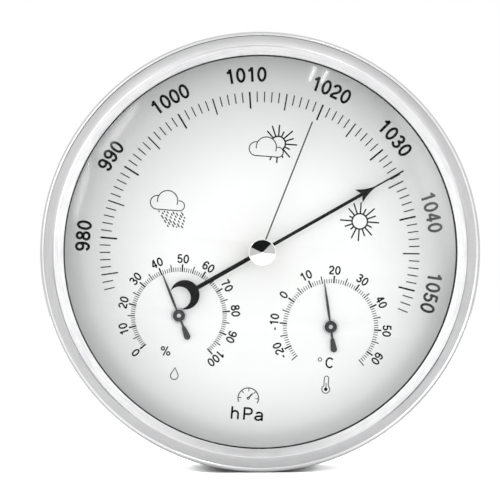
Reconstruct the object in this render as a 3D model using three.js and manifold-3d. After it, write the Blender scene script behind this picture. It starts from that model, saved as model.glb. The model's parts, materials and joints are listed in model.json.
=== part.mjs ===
// Analog weather station: a barometer with a small hygrometer and thermometer in its dial.
// Units are millimetres. +Z is 12 o'clock, +X is right and the dial faces -Y.
// The origin is the middle of the rear cover's wall face, and a depth is measured forward from it, along -Y.

import * as THREE from 'three';
import { mergeVertices } from 'three/addons/utils/BufferGeometryUtils.js';
import Module from 'manifold-3d';

const wasm = await Module();
wasm.setup();

// Fits and facets
const FIT = 0.05;
const LOOSE_FIT = 0.3;
const RING_FACETS = 54;
const BOSS_FACETS = 20;
const PIN_FACETS = 12;

// Case
const CASE_RADIUS = 66;
const SKIRT_WALL = 0.8;
const SKIRT_REAR = 1.5;
const COVER_CLEARANCE = 0.4;
const COVER_WALL = 2.2;
const COVER_BACK = 2.2;
const COVER_CORNER = 1.0;
const BEAD_RADIUS = 0.55;
const BEAD_STEPS = 5;
const RING_FACE_WIDTH = 7.05;
const LIP_THICKNESS = 1.5;
const CREST_INSET = 4.6;
const CREST_RISE = 0.4;
const SHOULDER_INSET = 3.6;
const SHOULDER_DROP = 0.12;
const SEAL_REVEAL = 0.5;
const SEAL_THICKNESS = 0.6;

// Glass, spacer and dial
const GLASS_THICKNESS = 1.8;
const GLASS_RISE = 5.5;
const GLASS_HOLE_RADIUS = 2.5;
const SPACER_HEIGHT = 3.6;
const SPACER_WIDTH = 4.4;
const DIAL_THICKNESS = 0.8;

// Small scales in the dial
const SMALL_SCALE_X = 23;
const SMALL_SCALE_Z = -21;

// Cover screws and the lugs that they hold to
const LUG_ANGLES = [60, 180, 300];
const LUG_SCREW_INSET = 7;
const LUG_WIDTH = 8;
const LUG_THICKNESS = 1.5;
const LUG_LEG = 4;
const LUG_SETBACK = 5.8;
const LUG_TOE = 3.5;
const COVER_BOSS_RADIUS = 4;
const SCREW_RADIUS = 1.0;
const SCREW_HEAD_RADIUS = 2.4;
const SCREW_HEAD_HEIGHT = 1.3;
const SCREW_TAIL = 1.0;
const COUNTERBORE_DEPTH = 1.8;
const CROSS_WIDTH = 0.6;
const CROSS_DEPTH = 0.7;

// Openings in the rear cover
const KEYHOLE_Z = 40;
const KEYHOLE_HEAD_RADIUS = 4.5;
const KEYHOLE_SLOT_RADIUS = 2.4;
const KEYHOLE_SLOT_LENGTH = 8;
const ACCESS_HOLE_RADIUS = 3.0;
const VENT_COUNT = 5;
const VENT_PITCH = 3.6;
const VENT_WIDTH = 1.6;
const VENT_LENGTH = 13;

// Set hand, its knob and its bearing in the glass
const KNOB_RADIUS = 4.05;
const KNOB_LENGTH = 4.8;
const KNOB_CHAMFER = 0.3;
const KNOB_DISH = 1.2;
const KNOB_GAP = 0.2;
const SPINDLE_RADIUS = 1.2;
const SPINDLE_COLLAR_RADIUS = 2.0;
const SPINDLE_COLLAR_LENGTH = 1.7;
const SPINDLE_GRIP = 2.4;
const SPINDLE_TAIL = 0.35;
const GLASS_BUSH_FLANGE_RADIUS = 3.4;
const GLASS_BUSH_FLANGE = 0.6;
const NUT_RADIUS = 3.9;
const NUT_HEIGHT = 1.5;
const NUT_TO_BUSH_END = 0.4;
const WASHER_RADIUS = 3.0;
const WASHER_THICKNESS = 0.3;
const SET_HAND_THICKNESS = 0.3;
const SET_HAND_LENGTH = 42.2;
const SET_HAND_HALF_WIDTH = 0.21;
const SET_HAND_READING = 1019.4;

// Barometer hand and its arbor
const PRESSURE_AT_TOP = 1013;
const DEGREES_PER_HPA = 2.7;
const PRESSURE_READING = 1033.8;
const BARO_HAND_THICKNESS = 0.35;
const BARO_HAND_LENGTH = 49.0;
const SHAFT_HALF_WIDTH = 0.4;
const TAIL_HALF_WIDTH = 0.54;
const POINT_HALF_WIDTH = 0.24;
const BARB_AT = 33.4;
const BARB_HALF_WIDTH = 2.34;
const BARB_NOTCH = 0.95;
const BARB_TAPER = 5.4;
const CRESCENT_AT = 26.45;
const CRESCENT_RADIUS = 4.45;
const CRESCENT_BITE_RADIUS = 3.36;
const CRESCENT_BITE_OFFSET = 1.81;
const CRESCENT_OPEN_ANGLE = 48;
const CRESCENT_STEPS = 14;
const BITE_STEPS = 12;
const ARBOR_RADIUS = 0.7;
const ARBOR_PIVOT_RADIUS = 0.5;
const ARBOR_TIP = 0.8;
const DRUM_RADIUS = 0.75;
const DRUM_WIDTH = 0.8;
const DRUM_FLANGE_RADIUS = 1.3;
const DRUM_FLANGE = 0.2;
const COLLET_RADIUS = 0.9;
const COLLET_LENGTH = 1.2;
const BARO_HUB_RADIUS = 2.0;
const BARO_HUB_LENGTH = 1.0;
const BARO_HUB_GAP = 0.4;
const DIAL_BUSH_RADIUS = 2.4;
const DIAL_BUSH_FLANGE_RADIUS = 3.4;
const DIAL_BUSH_FLANGE = 0.6;
const DIAL_BUSH_TAIL = 0.7;

// Small hands, the same on both small scales
const HUMIDITY_AT_TOP = 50;
const DEGREES_PER_PERCENT = 2.7;
const HUMIDITY_READING = 40.4;
const CELSIUS_AT_TOP = 20;
const DEGREES_PER_CELSIUS = 3;
const CELSIUS_READING = 15.9;
const SMALL_HAND_GAP = 0.4;
const SMALL_HAND_THICKNESS = 0.25;
const SMALL_HAND_LENGTH = 13.4;
const SMALL_HAND_ROOT_HALF_WIDTH = 0.25;
const SMALL_HAND_BELLY_HALF_WIDTH = 0.34;
const SMALL_HAND_BELLY_AT = 5.6;
const SMALL_HAND_TIP_HALF_WIDTH = 0.12;
const SMALL_NECK_HALF_WIDTH = 0.33;
const SMALL_NECK_END = 3.6;
const SMALL_TAIL_START_HALF_WIDTH = 0.6;
const SMALL_TAIL_START = 3.8;
const SMALL_TAIL_HALF_WIDTH = 0.98;
const SMALL_TAIL_WIDEST_AT = 6.9;
const SMALL_TAIL_END_HALF_WIDTH = 0.3;
const SMALL_TAIL_LENGTH = 7.8;
const SMALL_HUB_RADIUS = 1.87;
const SMALL_HUB_HEIGHT = 0.55;
const SMALL_ARBOR_RADIUS = 0.6;
const SMALL_ARBOR_PROUD = 0.15;
const SMALL_BUSH_RADIUS = 1.9;
const SMALL_BUSH_FLANGE_RADIUS = 2.4;
const SMALL_BUSH_FLANGE = 0.3;
const SMALL_BUSH_TAIL = 3.0;

// Small movements behind the dial
const SMALL_CASE_RADIUS = 9.5;
const SMALL_CASE_WALL = 0.5;
const SMALL_CASE_DEPTH = 7;
const COIL_COLLET_RADIUS = 1.6;
const COIL_COLLET_LENGTH = 3.0;
const COIL_TURNS = 4;
const COIL_STRIP = 0.3;
const COIL_STEPS_PER_TURN = 14;

// Barometer movement
const PLATE_DEPTH = 4.4;
const PLATE_THICKNESS = 1.2;
const PLATE_MARGIN = 4.8;
const POST_RADIUS = 2;
const POST_ANGLES = [0, 149, 211];
const POST_INSET = 3.4;
const POST_SCREW_HEAD_RADIUS = 1.9;
const POST_SCREW_HEAD_HEIGHT = 1.1;
const POST_SCREW_LENGTH = 4;
const CAPSULE_SEAT_RADIUS = 3.5;
const CAPSULE_SEAT_HEIGHT = 1.0;
const CAPSULE_RADIUS = 15.2;
const CAPSULE_THICKNESS = 3.4;
const CAPSULE_RIM = 0.6;
const CAPSULE_RIM_WIDTH = 1.2;
const CAPSULE_WAVES = 3;
const CAPSULE_WAVE_HEIGHT = 0.3;
const CAPSULE_CENTRE_RADIUS = 3.2;
const CAPSULE_FACETS = 32;
const STUD_RADIUS = 1.5;
const STUD_HEIGHT = 1.0;
const STUD_NECK_RADIUS = 0.6;
const STUD_NUT_RADIUS = 1.3;
const STUD_NUT_HEIGHT = 0.6;
const LEVER_THICKNESS = 1.0;
const LEVER_HALF_WIDTH = 2.4;
const LEVER_END_HALF_WIDTH = 2.8;
const LEVER_PIVOT_ROOM = 2.8;
const LEVER_END_MARGIN = 0.8;
const LEVER_BARREL_RADIUS = 1.2;
const LEVER_BARREL_LENGTH = 6;
const LEVER_HOLE_RADIUS = 0.9;
const LEVER_PIN_RADIUS = 0.5;
const BRACKET_SHEET = 0.8;
const BRACKET_WIDTH = 3;
const TONGUE_X = 2;
const TONGUE_ROOM = 3.8;
const TONGUE_SIDE = 0.8;
const ROCKING_RISE = 2.0;
const ROCKING_RADIUS = 0.7;
const ROCKING_PIVOT_RADIUS = 0.45;
const ROCKING_HALF_SPAN = 6.2;
const ROCKING_COLLAR_RADIUS = 1.2;
const ROCKING_COLLAR_LENGTH = 1.2;
const CRANK_LENGTH = 2.2;
const CRANK_THICKNESS = 0.7;
const CHAIN_ARM_THICKNESS = 0.6;
const CHAIN_ARM_WIDTH = 1.0;
const CHAIN_RADIUS = 0.2;
const CHAIN_FACETS = 8;
const BRIDGE_GAP = 0.7;
const BRIDGE_THICKNESS = 1.2;
const BRIDGE_WIDTH = 7;
const BRIDGE_LEG_ROOM = 3.0;
const BRIDGE_LEG_THICKNESS = 1.2;
const BRIDGE_FOOT_LENGTH = 4;
const BRIDGE_SCREW_HEAD_RADIUS = 1.5;
const BRIDGE_SCREW_HEAD_HEIGHT = 0.9;
const BRIDGE_SCREW_RADIUS = 0.7;
const SPRING_STUD_RADIUS = 5;
const SPRING_STUD_SIDE = 0.8;
const SPRING_TURNS = 3;
const SPRING_STRIP = 0.2;
const SPRING_WIDTH = 0.5;
const ADJUSTER_X = 14;
const ADJUSTER_Z = 14;
const ADJUSTER_RADIUS = 1.0;
const ADJUSTER_HEAD_RADIUS = 2.0;
const ADJUSTER_HEAD_HEIGHT = 1.5;
const ADJUSTER_LENGTH = 3.6;
const ADJUSTER_SLOT_WIDTH = 0.5;
const ADJUSTER_SLOT_DEPTH = 0.7;

// Depths and radii that follow from the sizes above
const PLATE_FRONT = PLATE_DEPTH + PLATE_THICKNESS;
const CAPSULE_BACK = PLATE_FRONT + CAPSULE_SEAT_HEIGHT;
const CAPSULE_FRONT = CAPSULE_BACK + CAPSULE_THICKNESS;
const STUD_FRONT = CAPSULE_FRONT + STUD_HEIGHT;
const LEVER_BACK = STUD_FRONT + LOOSE_FIT;
const LEVER_FRONT = LEVER_BACK + LEVER_THICKNESS;
const LEVER_DEPTH = (LEVER_BACK + LEVER_FRONT) / 2;
const LEVER_PIVOT_Z = CAPSULE_RADIUS + LEVER_PIVOT_ROOM;
const STUD_NUT_BACK = LEVER_FRONT + LOOSE_FIT;
const STUD_NECK_FRONT = STUD_NUT_BACK + STUD_NUT_HEIGHT;
const TONGUE_Z = -(CAPSULE_RADIUS + TONGUE_ROOM);
const LEVER_END_Z = TONGUE_Z - LEVER_END_MARGIN;
const ROCKING_Z = TONGUE_Z - CRANK_LENGTH;
const ROCKING_DEPTH = PLATE_FRONT + ROCKING_RISE;
const PLATE_RADIUS = PLATE_MARGIN - ROCKING_Z;
const POST_PLACES = POST_ANGLES.map((angle) => clock(PLATE_RADIUS - POST_INSET, angle));
const BRIDGE_DEPTH = STUD_NECK_FRONT + BRIDGE_GAP;
const BRIDGE_FRONT = BRIDGE_DEPTH + BRIDGE_THICKNESS;
const BRIDGE_LEG_X = CAPSULE_RADIUS + BRIDGE_LEG_ROOM;
const DRUM_BACK = BRIDGE_FRONT + LOOSE_FIT * 2 + DRUM_FLANGE;
const DRUM_FRONT = DRUM_BACK + DRUM_WIDTH;
const CHAIN_DEPTH = (DRUM_BACK + DRUM_FRONT) / 2;
const CHAIN_X = -(DRUM_RADIUS + CHAIN_RADIUS + FIT);
const BUSH_BACK = DRUM_FRONT + DRUM_FLANGE + COLLET_LENGTH;
const DIAL_BACK = BUSH_BACK + DIAL_BUSH_TAIL;
const DIAL_FRONT = DIAL_BACK + DIAL_THICKNESS;
const GLASS_BACK = DIAL_FRONT + SPACER_HEIGHT;
const GLASS_FRONT = GLASS_BACK + GLASS_THICKNESS;
const LIP_BACK = GLASS_FRONT + SEAL_THICKNESS;
const LIP_FRONT = LIP_BACK + LIP_THICKNESS;
const LIP_RADIUS = CASE_RADIUS - RING_FACE_WIDTH;
const SKIRT_INNER_RADIUS = CASE_RADIUS - SKIRT_WALL;
const COVER_DEPTH = DIAL_BACK;
const COVER_RADIUS = SKIRT_INNER_RADIUS - COVER_CLEARANCE;
const STACK_RADIUS = SKIRT_INNER_RADIUS - LOOSE_FIT * 2;
const SEAL_INNER_RADIUS = LIP_RADIUS - SEAL_REVEAL;
const LUG_SCREW_RADIUS = CASE_RADIUS - LUG_SCREW_INSET;
const LUG_INNER_RADIUS = LUG_SCREW_RADIUS - LUG_TOE;
const LUG_DEPTH = COVER_DEPTH - LUG_SETBACK;
const APEX_FRONT = GLASS_FRONT + GLASS_RISE;
const APEX_BACK = APEX_FRONT - GLASS_THICKNESS;
const NUT_BACK = APEX_BACK - FIT - NUT_HEIGHT;
const GLASS_BUSH_BACK = NUT_BACK - NUT_TO_BUSH_END;
const WASHER_BACK = GLASS_BUSH_BACK - WASHER_THICKNESS;
const SET_HAND_DEPTH = WASHER_BACK - SPINDLE_COLLAR_LENGTH - SET_HAND_THICKNESS;
const KNOB_BACK = APEX_FRONT + GLASS_BUSH_FLANGE + KNOB_GAP;
const BARO_HAND_DEPTH = DIAL_FRONT + DIAL_BUSH_FLANGE + BARO_HUB_GAP + BARO_HUB_LENGTH;
const SMALL_HAND_DEPTH = DIAL_FRONT + SMALL_BUSH_FLANGE + SMALL_HAND_GAP;

const root = new THREE.Group();

// Materials
const finish = (color, roughness, metalness) => new THREE.MeshStandardMaterial({ color, roughness, metalness });
const polishedSteel = () => finish(0xd6d6d8, 0.22, 1);
const plainSteel = () => finish(0xb4b6ba, 0.35, 1);
const darkSteel = () => finish(0x4a4b4e, 0.4, 1);
const brass = () => finish(0xc3a25a, 0.3, 1);
const copperAlloy = () => finish(0xb58a62, 0.35, 1);
const blackPlastic = () => finish(0x18191b, 0.6, 0);
const whitePlastic = () => finish(0xe8e8e6, 0.5, 0);
const blackPaint = () => finish(0x111112, 0.45, 0);
const greyPaint = () => finish(0x47484a, 0.45, 0);
const blackRubber = () => finish(0x141414, 0.8, 0);
const clearGlass = () => {
  const material = finish(0xf4f8f8, 0.03, 0);
  material.transparent = true;
  material.opacity = 0.35;
  return material;
};
const whiteDial = () => finish(0xf2f2f2, 0.5, 0);

// Helpers

function add(name, geometry, material, parent = root) {
  const mesh = new THREE.Mesh(geometry, material);
  mesh.name = name;
  parent.add(mesh);
  return mesh;
}

// A closed manifold-3d solid of a closed geometry.
function solid(geometry) {
  const bare = geometry.clone();
  bare.deleteAttribute('normal');
  bare.deleteAttribute('uv');
  const merged = mergeVertices(bare, 1e-4);
  const index = merged.index.array;
  const faces = [];
  for (let i = 0; i < index.length; i += 3) {
    const [a, b, c] = [index[i], index[i + 1], index[i + 2]];
    if (a !== b && b !== c && c !== a) faces.push(a, b, c);
  }
  return new wasm.Manifold(new wasm.Mesh({
    numProp: 3,
    vertProperties: new Float32Array(merged.attributes.position.array),
    triVerts: new Uint32Array(faces),
  }));
}

function geometryOf(manifold) {
  const mesh = manifold.getMesh();
  const geometry = new THREE.BufferGeometry();
  geometry.setAttribute('position', new THREE.BufferAttribute(mesh.vertProperties, 3));
  geometry.setIndex(new THREE.BufferAttribute(mesh.triVerts, 1));
  return geometry;
}

const joined = (...pieces) => geometryOf(pieces.map(solid).reduce((whole, piece) => whole.add(piece)));
const cut = (piece, ...tools) => geometryOf(tools.reduce((left, tool) => left.subtract(solid(tool)), solid(piece)));

// A piece turned about the dial's axis, from [radius, depth] points that end on the axis or close on themselves.
function turned(profile, facets = RING_FACETS) {
  const points = profile.map(([radius, depth]) => new THREE.Vector2(radius, -depth));
  if (profile[0][0] > 0) points.push(points[0].clone());
  if (THREE.ShapeUtils.area(points) < 0) points.reverse();
  return new THREE.LatheGeometry(points, facets);
}

const ring = (inner, outer, back, front, facets = RING_FACETS) =>
  turned([[inner, back], [outer, back], [outer, front], [inner, front]], facets);

const disc = (radius, back, front, facets = BOSS_FACETS) =>
  turned([[0, back], [radius, back], [radius, front], [0, front]], facets);

// A flat piece: an outline in X and Z, made solid between two depths.
function plate(outline, back, thickness, curveSegments = 12) {
  const geometry = new THREE.ExtrudeGeometry(outline, { depth: thickness, bevelEnabled: false, curveSegments });
  geometry.rotateX(Math.PI / 2);
  geometry.translate(0, -back, 0);
  return geometry;
}

// A folded piece: an outline in X and depth, made solid along Z around a height.
function folded(outline, z, width) {
  const geometry = new THREE.ExtrudeGeometry(outline, { depth: width, bevelEnabled: false });
  geometry.scale(1, -1, -1);
  geometry.translate(0, 0, z + width / 2);
  return geometry;
}

function outlineOf(points) {
  return new THREE.Shape(points.map(([x, y]) => new THREE.Vector2(x, y)));
}

// An outline that is the same on both sides of its middle line, from the points of its right side.
function mirrored(rightSide) {
  const left = rightSide.filter(([x]) => x > 0).map(([x, y]) => [-x, y]).reverse();
  return outlineOf([...rightSide, ...left]);
}

function box(width, depth, height, x, middleDepth, z) {
  const geometry = new THREE.BoxGeometry(width, depth, height);
  geometry.translate(x, -middleDepth, z);
  return geometry;
}

// A rod along X, centred on a place given as x, depth and z.
function rodX(radius, length, x, depth, z, facets = PIN_FACETS) {
  const geometry = new THREE.CylinderGeometry(radius, radius, length, facets);
  geometry.rotateZ(Math.PI / 2);
  geometry.translate(x, -depth, z);
  return geometry;
}

const moved = (geometry, x, z) => geometry.clone().translate(x, 0, z);

// A place at a radius and a clock angle, in degrees clockwise from 12 o'clock seen from the front.
function clock(radius, degrees) {
  const angle = THREE.MathUtils.degToRad(degrees);
  return [radius * Math.sin(angle), radius * Math.cos(angle)];
}

function groupAt(x, z, degrees, parent = root) {
  const group = new THREE.Group();
  group.position.set(x, 0, z);
  group.rotation.y = THREE.MathUtils.degToRad(degrees);
  parent.add(group);
  return group;
}

// A screw driven from behind, with a round head and a cross recess.
function screwFromBehind(headBack, headRadius, headHeight, shankRadius, shankEnd) {
  const headFront = headBack + headHeight;
  const body = turned([
    [0, headBack], [headRadius * 0.8, headBack], [headRadius, headBack + headHeight * 0.4], [headRadius, headFront],
    [shankRadius, headFront], [shankRadius, shankEnd], [0, shankEnd],
  ], PIN_FACETS);
  const recess = CROSS_DEPTH * 2;
  const length = headRadius * 1.1;
  const bars = [[CROSS_WIDTH, length], [length, CROSS_WIDTH]];
  return cut(body, ...bars.map(([width, height]) => box(width, recess, height, 0, headBack, 0)));
}

// A flat spiral strip, wound outward at a steady rate.
function spiral(innerRadius, outerRadius, turns, strip, back, width) {
  const steps = turns * COIL_STEPS_PER_TURN;
  const side = (offset) => Array.from({ length: steps + 1 }, (unused, i) => {
    const radius = innerRadius + (outerRadius - innerRadius) * i / steps + offset;
    const angle = 2 * Math.PI * turns * i / steps;
    return [radius * Math.cos(angle), radius * Math.sin(angle)];
  });
  return plate(outlineOf([...side(strip / 2), ...side(-strip / 2).reverse()]), back, width);
}

// Case

function addBezelRing() {
  const beadCentre = CASE_RADIUS - BEAD_RADIUS;
  const bead = Array.from({ length: BEAD_STEPS + 1 }, (unused, i) => {
    const angle = Math.PI * i / BEAD_STEPS;
    return [beadCentre + BEAD_RADIUS * Math.cos(angle), LIP_BACK + BEAD_RADIUS * Math.sin(angle)];
  });
  const crest = LIP_FRONT + CREST_RISE;
  const crown = [
    [CASE_RADIUS - SHOULDER_INSET, crest - SHOULDER_DROP], [CASE_RADIUS - CREST_INSET, crest],
    [LIP_RADIUS + LIP_THICKNESS / 3, LIP_FRONT + CREST_RISE / 3], [LIP_RADIUS, LIP_FRONT],
  ];
  add('bezel_ring', turned([
    [CASE_RADIUS, SKIRT_REAR], ...bead, ...crown,
    [LIP_RADIUS, LIP_BACK], [SKIRT_INNER_RADIUS, LIP_BACK], [SKIRT_INNER_RADIUS, SKIRT_REAR],
  ]), polishedSteel());
}

function addGlassStack() {
  add('glass_seal', ring(SEAL_INNER_RADIUS, STACK_RADIUS, GLASS_FRONT, LIP_BACK), blackRubber());
  const domeEdge = SEAL_INNER_RADIUS;
  const dome = (edge, apex) => Array.from({ length: 5 }, (unused, i) => {
    const radius = GLASS_HOLE_RADIUS + (domeEdge - GLASS_HOLE_RADIUS) * i / 4;
    return [radius, apex - (apex - edge) * (radius / domeEdge) ** 2];
  });
  add('domed_glass', turned([
    ...dome(GLASS_FRONT, APEX_FRONT), [STACK_RADIUS, GLASS_FRONT], [STACK_RADIUS, GLASS_BACK],
    ...dome(GLASS_BACK, APEX_BACK).reverse(),
  ]), clearGlass());
  const spacerInner = STACK_RADIUS - SPACER_WIDTH;
  add('spacer_ring', ring(spacerInner, STACK_RADIUS, DIAL_FRONT, GLASS_BACK), whitePlastic());
}

function addDialPlate() {
  const circle = (x, z, radius, facets) => Array.from({ length: facets }, (unused, i) => {
    const angle = 2 * Math.PI * i / facets;
    return new THREE.Vector2(x + radius * Math.cos(angle), z + radius * Math.sin(angle));
  });
  const outline = new THREE.Shape(circle(0, 0, STACK_RADIUS, RING_FACETS));
  outline.holes.push(new THREE.Path(circle(0, 0, DIAL_BUSH_RADIUS + FIT, BOSS_FACETS)));
  for (const side of [-1, 1]) {
    const place = [side * SMALL_SCALE_X, SMALL_SCALE_Z];
    outline.holes.push(new THREE.Path(circle(...place, SMALL_BUSH_RADIUS + FIT, BOSS_FACETS)));
  }
  add('dial_plate', plate(outline, DIAL_BACK, DIAL_THICKNESS), whiteDial());
}

// Rear cover, lugs and cover screws

function keyholeCutter() {
  const slotTop = KEYHOLE_Z + KEYHOLE_SLOT_LENGTH - KEYHOLE_SLOT_RADIUS;
  const through = COVER_BACK * 3;
  const slotHeight = slotTop - KEYHOLE_Z;
  return [
    moved(disc(KEYHOLE_HEAD_RADIUS, -COVER_BACK, through - COVER_BACK), 0, KEYHOLE_Z),
    moved(disc(KEYHOLE_SLOT_RADIUS, -COVER_BACK, through - COVER_BACK), 0, slotTop),
    box(2 * KEYHOLE_SLOT_RADIUS, through, slotHeight, 0, COVER_BACK / 2, KEYHOLE_Z + slotHeight / 2),
  ];
}

function ventCutters() {
  const cutters = [];
  for (const side of [-1, 1]) {
    for (let i = 0; i < VENT_COUNT; i += 1) {
      const z = SMALL_SCALE_Z + (i - (VENT_COUNT - 1) / 2) * VENT_PITCH;
      cutters.push(box(VENT_LENGTH, COVER_BACK * 3, VENT_WIDTH, side * SMALL_SCALE_X, COVER_BACK / 2, z));
    }
  }
  return cutters;
}

function addRearCover() {
  const wallInner = COVER_RADIUS - COVER_WALL;
  const pan = turned([
    [0, 0], [COVER_RADIUS - COVER_CORNER, 0], [COVER_RADIUS, COVER_CORNER], [COVER_RADIUS, COVER_DEPTH],
    [wallInner, COVER_DEPTH], [wallInner, COVER_BACK], [0, COVER_BACK],
  ]);
  const bossFront = LUG_DEPTH - LOOSE_FIT;
  const bosses = LUG_ANGLES.map((angle) =>
    moved(disc(COVER_BOSS_RADIUS, COVER_BACK / 2, bossFront), ...clock(LUG_SCREW_RADIUS, angle)));
  const notchBack = LUG_DEPTH - LOOSE_FIT;
  const notchLength = COVER_DEPTH - notchBack + 1;
  const notches = LUG_ANGLES.map((angle) => {
    const notch = box(
      LUG_WIDTH + 4 * LOOSE_FIT, notchLength, COVER_WALL * 4, 0, notchBack + notchLength / 2, COVER_RADIUS,
    );
    return notch.rotateY(THREE.MathUtils.degToRad(angle));
  });
  const screwHoles = LUG_ANGLES.flatMap((angle) => {
    const place = clock(LUG_SCREW_RADIUS, angle);
    return [
      moved(disc(SCREW_RADIUS + LOOSE_FIT, -1, LUG_DEPTH, PIN_FACETS), ...place),
      moved(disc(SCREW_HEAD_RADIUS + LOOSE_FIT, -1, COUNTERBORE_DEPTH), ...place),
    ];
  });
  const access = moved(disc(ACCESS_HOLE_RADIUS, -1, COVER_BACK + 1), ADJUSTER_X, ADJUSTER_Z);
  const shell = joined(pan, ...bosses);
  add('rear_cover', cut(
    shell, ...notches, ...screwHoles, access, ...keyholeCutter(), ...ventCutters(),
  ), blackPlastic());
}

function addLugsAndScrews() {
  const reach = SKIRT_INNER_RADIUS - LOOSE_FIT;
  const span = reach - LUG_INNER_RADIUS;
  const foot = box(LUG_WIDTH, LUG_THICKNESS, span, 0, LUG_DEPTH + LUG_THICKNESS / 2, LUG_INNER_RADIUS + span / 2);
  const leg = box(
    LUG_WIDTH, LUG_LEG, LUG_THICKNESS, 0, LUG_DEPTH + LUG_LEG / 2, reach - LUG_THICKNESS / 2,
  );
  const threadHole = moved(disc(SCREW_RADIUS + FIT, LUG_DEPTH - 1, LUG_DEPTH + LUG_LEG, PIN_FACETS), 0, LUG_SCREW_RADIUS);
  const lug = cut(joined(foot, leg), threadHole);
  const headBack = COUNTERBORE_DEPTH - SCREW_HEAD_HEIGHT;
  const screw = screwFromBehind(
    headBack, SCREW_HEAD_RADIUS, SCREW_HEAD_HEIGHT, SCREW_RADIUS, LUG_DEPTH + LUG_THICKNESS + SCREW_TAIL,
  );
  LUG_ANGLES.forEach((angle, i) => {
    add(`mounting_lug_${i + 1}`, lug, plainSteel(), groupAt(0, 0, angle));
    add(`rear_screw_${i + 1}`, moved(screw, ...clock(LUG_SCREW_RADIUS, angle)), darkSteel());
  });
}

// Set hand, with its knob outside the glass

function addSetHand() {
  add('glass_bush', turned([
    [SPINDLE_RADIUS + FIT, GLASS_BUSH_BACK], [GLASS_HOLE_RADIUS - FIT, GLASS_BUSH_BACK],
    [GLASS_HOLE_RADIUS - FIT, APEX_FRONT], [GLASS_BUSH_FLANGE_RADIUS, APEX_FRONT],
    [GLASS_BUSH_FLANGE_RADIUS, APEX_FRONT + GLASS_BUSH_FLANGE],
    [SPINDLE_RADIUS + FIT, APEX_FRONT + GLASS_BUSH_FLANGE],
  ], BOSS_FACETS), brass());
  const nut = disc(NUT_RADIUS, NUT_BACK, NUT_BACK + NUT_HEIGHT, 6);
  add('bush_nut', cut(nut, disc(GLASS_HOLE_RADIUS, NUT_BACK - 1, NUT_BACK + NUT_HEIGHT + 1)), brass());
  add('friction_washer', ring(
    SPINDLE_RADIUS + FIT, WASHER_RADIUS, WASHER_BACK, GLASS_BUSH_BACK, BOSS_FACETS,
  ), plainSteel());

  const turning = groupAt(0, 0, (SET_HAND_READING - PRESSURE_AT_TOP) * DEGREES_PER_HPA);
  const collarBack = SET_HAND_DEPTH + SET_HAND_THICKNESS;
  add('knob_spindle', turned([
    [0, SET_HAND_DEPTH - SPINDLE_TAIL], [SPINDLE_RADIUS, SET_HAND_DEPTH - SPINDLE_TAIL],
    [SPINDLE_RADIUS, collarBack], [SPINDLE_COLLAR_RADIUS, collarBack], [SPINDLE_COLLAR_RADIUS, WASHER_BACK],
    [SPINDLE_RADIUS, WASHER_BACK], [SPINDLE_RADIUS, KNOB_BACK + SPINDLE_GRIP], [0, KNOB_BACK + SPINDLE_GRIP],
  ], BOSS_FACETS), plainSteel(), turning);
  const eye = SPINDLE_COLLAR_RADIUS;
  const needle = mirrored([
    [SET_HAND_HALF_WIDTH * 2, eye * 0.8], [SET_HAND_HALF_WIDTH, eye * 2], [SET_HAND_HALF_WIDTH, SET_HAND_LENGTH],
  ]);
  add('set_hand', cut(
    joined(
      plate(needle, SET_HAND_DEPTH, SET_HAND_THICKNESS),
      disc(eye, SET_HAND_DEPTH, SET_HAND_DEPTH + SET_HAND_THICKNESS),
    ),
    disc(SPINDLE_RADIUS + FIT, SET_HAND_DEPTH - 1, SET_HAND_DEPTH + 1),
  ), greyPaint(), turning);
  const knobFront = KNOB_BACK + KNOB_LENGTH;
  const boreEnd = KNOB_BACK + SPINDLE_GRIP + FIT;
  add('set_knob', turned([
    [SPINDLE_RADIUS + FIT, KNOB_BACK], [KNOB_RADIUS - KNOB_CHAMFER, KNOB_BACK],
    [KNOB_RADIUS, KNOB_BACK + KNOB_CHAMFER], [KNOB_RADIUS, knobFront - KNOB_CHAMFER],
    [KNOB_RADIUS - KNOB_CHAMFER, knobFront], [0, knobFront - KNOB_DISH],
    [0, boreEnd], [SPINDLE_RADIUS + FIT, boreEnd],
  ], BOSS_FACETS), polishedSteel(), turning);
}

// Barometer hand

function baroHandOutline() {
  const radians = THREE.MathUtils.degToRad;
  const flank = new THREE.QuadraticBezierCurve(
    new THREE.Vector2(BARB_HALF_WIDTH, BARB_AT),
    new THREE.Vector2(BARB_HALF_WIDTH / 3, BARB_AT + BARB_TAPER * 0.45),
    new THREE.Vector2(POINT_HALF_WIDTH, BARB_AT + BARB_TAPER),
  ).getPoints(8).map((point) => [point.x, point.y]);
  const neckAngle = Math.asin(TAIL_HALF_WIDTH / CRESCENT_RADIUS);
  const openAngle = radians(CRESCENT_OPEN_ANGLE);
  const outerArc = Array.from({ length: CRESCENT_STEPS + 1 }, (unused, i) => {
    const angle = openAngle + (Math.PI - neckAngle - openAngle) * i / CRESCENT_STEPS;
    return [CRESCENT_RADIUS * Math.sin(angle), -CRESCENT_AT - CRESCENT_RADIUS * Math.cos(angle)];
  });
  const tipAngle = Math.asin((CRESCENT_RADIUS * Math.sin(openAngle) - POINT_HALF_WIDTH) / CRESCENT_BITE_RADIUS);
  const innerArc = Array.from({ length: BITE_STEPS + 1 }, (unused, i) => {
    const angle = tipAngle + (Math.PI - tipAngle) * (BITE_STEPS - i) / BITE_STEPS;
    const depth = -CRESCENT_AT - CRESCENT_BITE_OFFSET - CRESCENT_BITE_RADIUS * Math.cos(angle);
    return [CRESCENT_BITE_RADIUS * Math.sin(angle), depth];
  });
  return mirrored([
    ...innerArc, ...outerArc,
    [TAIL_HALF_WIDTH, -BARO_HUB_RADIUS], [SHAFT_HALF_WIDTH, BARO_HUB_RADIUS],
    [SHAFT_HALF_WIDTH, BARB_AT + BARB_NOTCH], ...flank, [POINT_HALF_WIDTH, BARO_HAND_LENGTH],
  ]);
}

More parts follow.
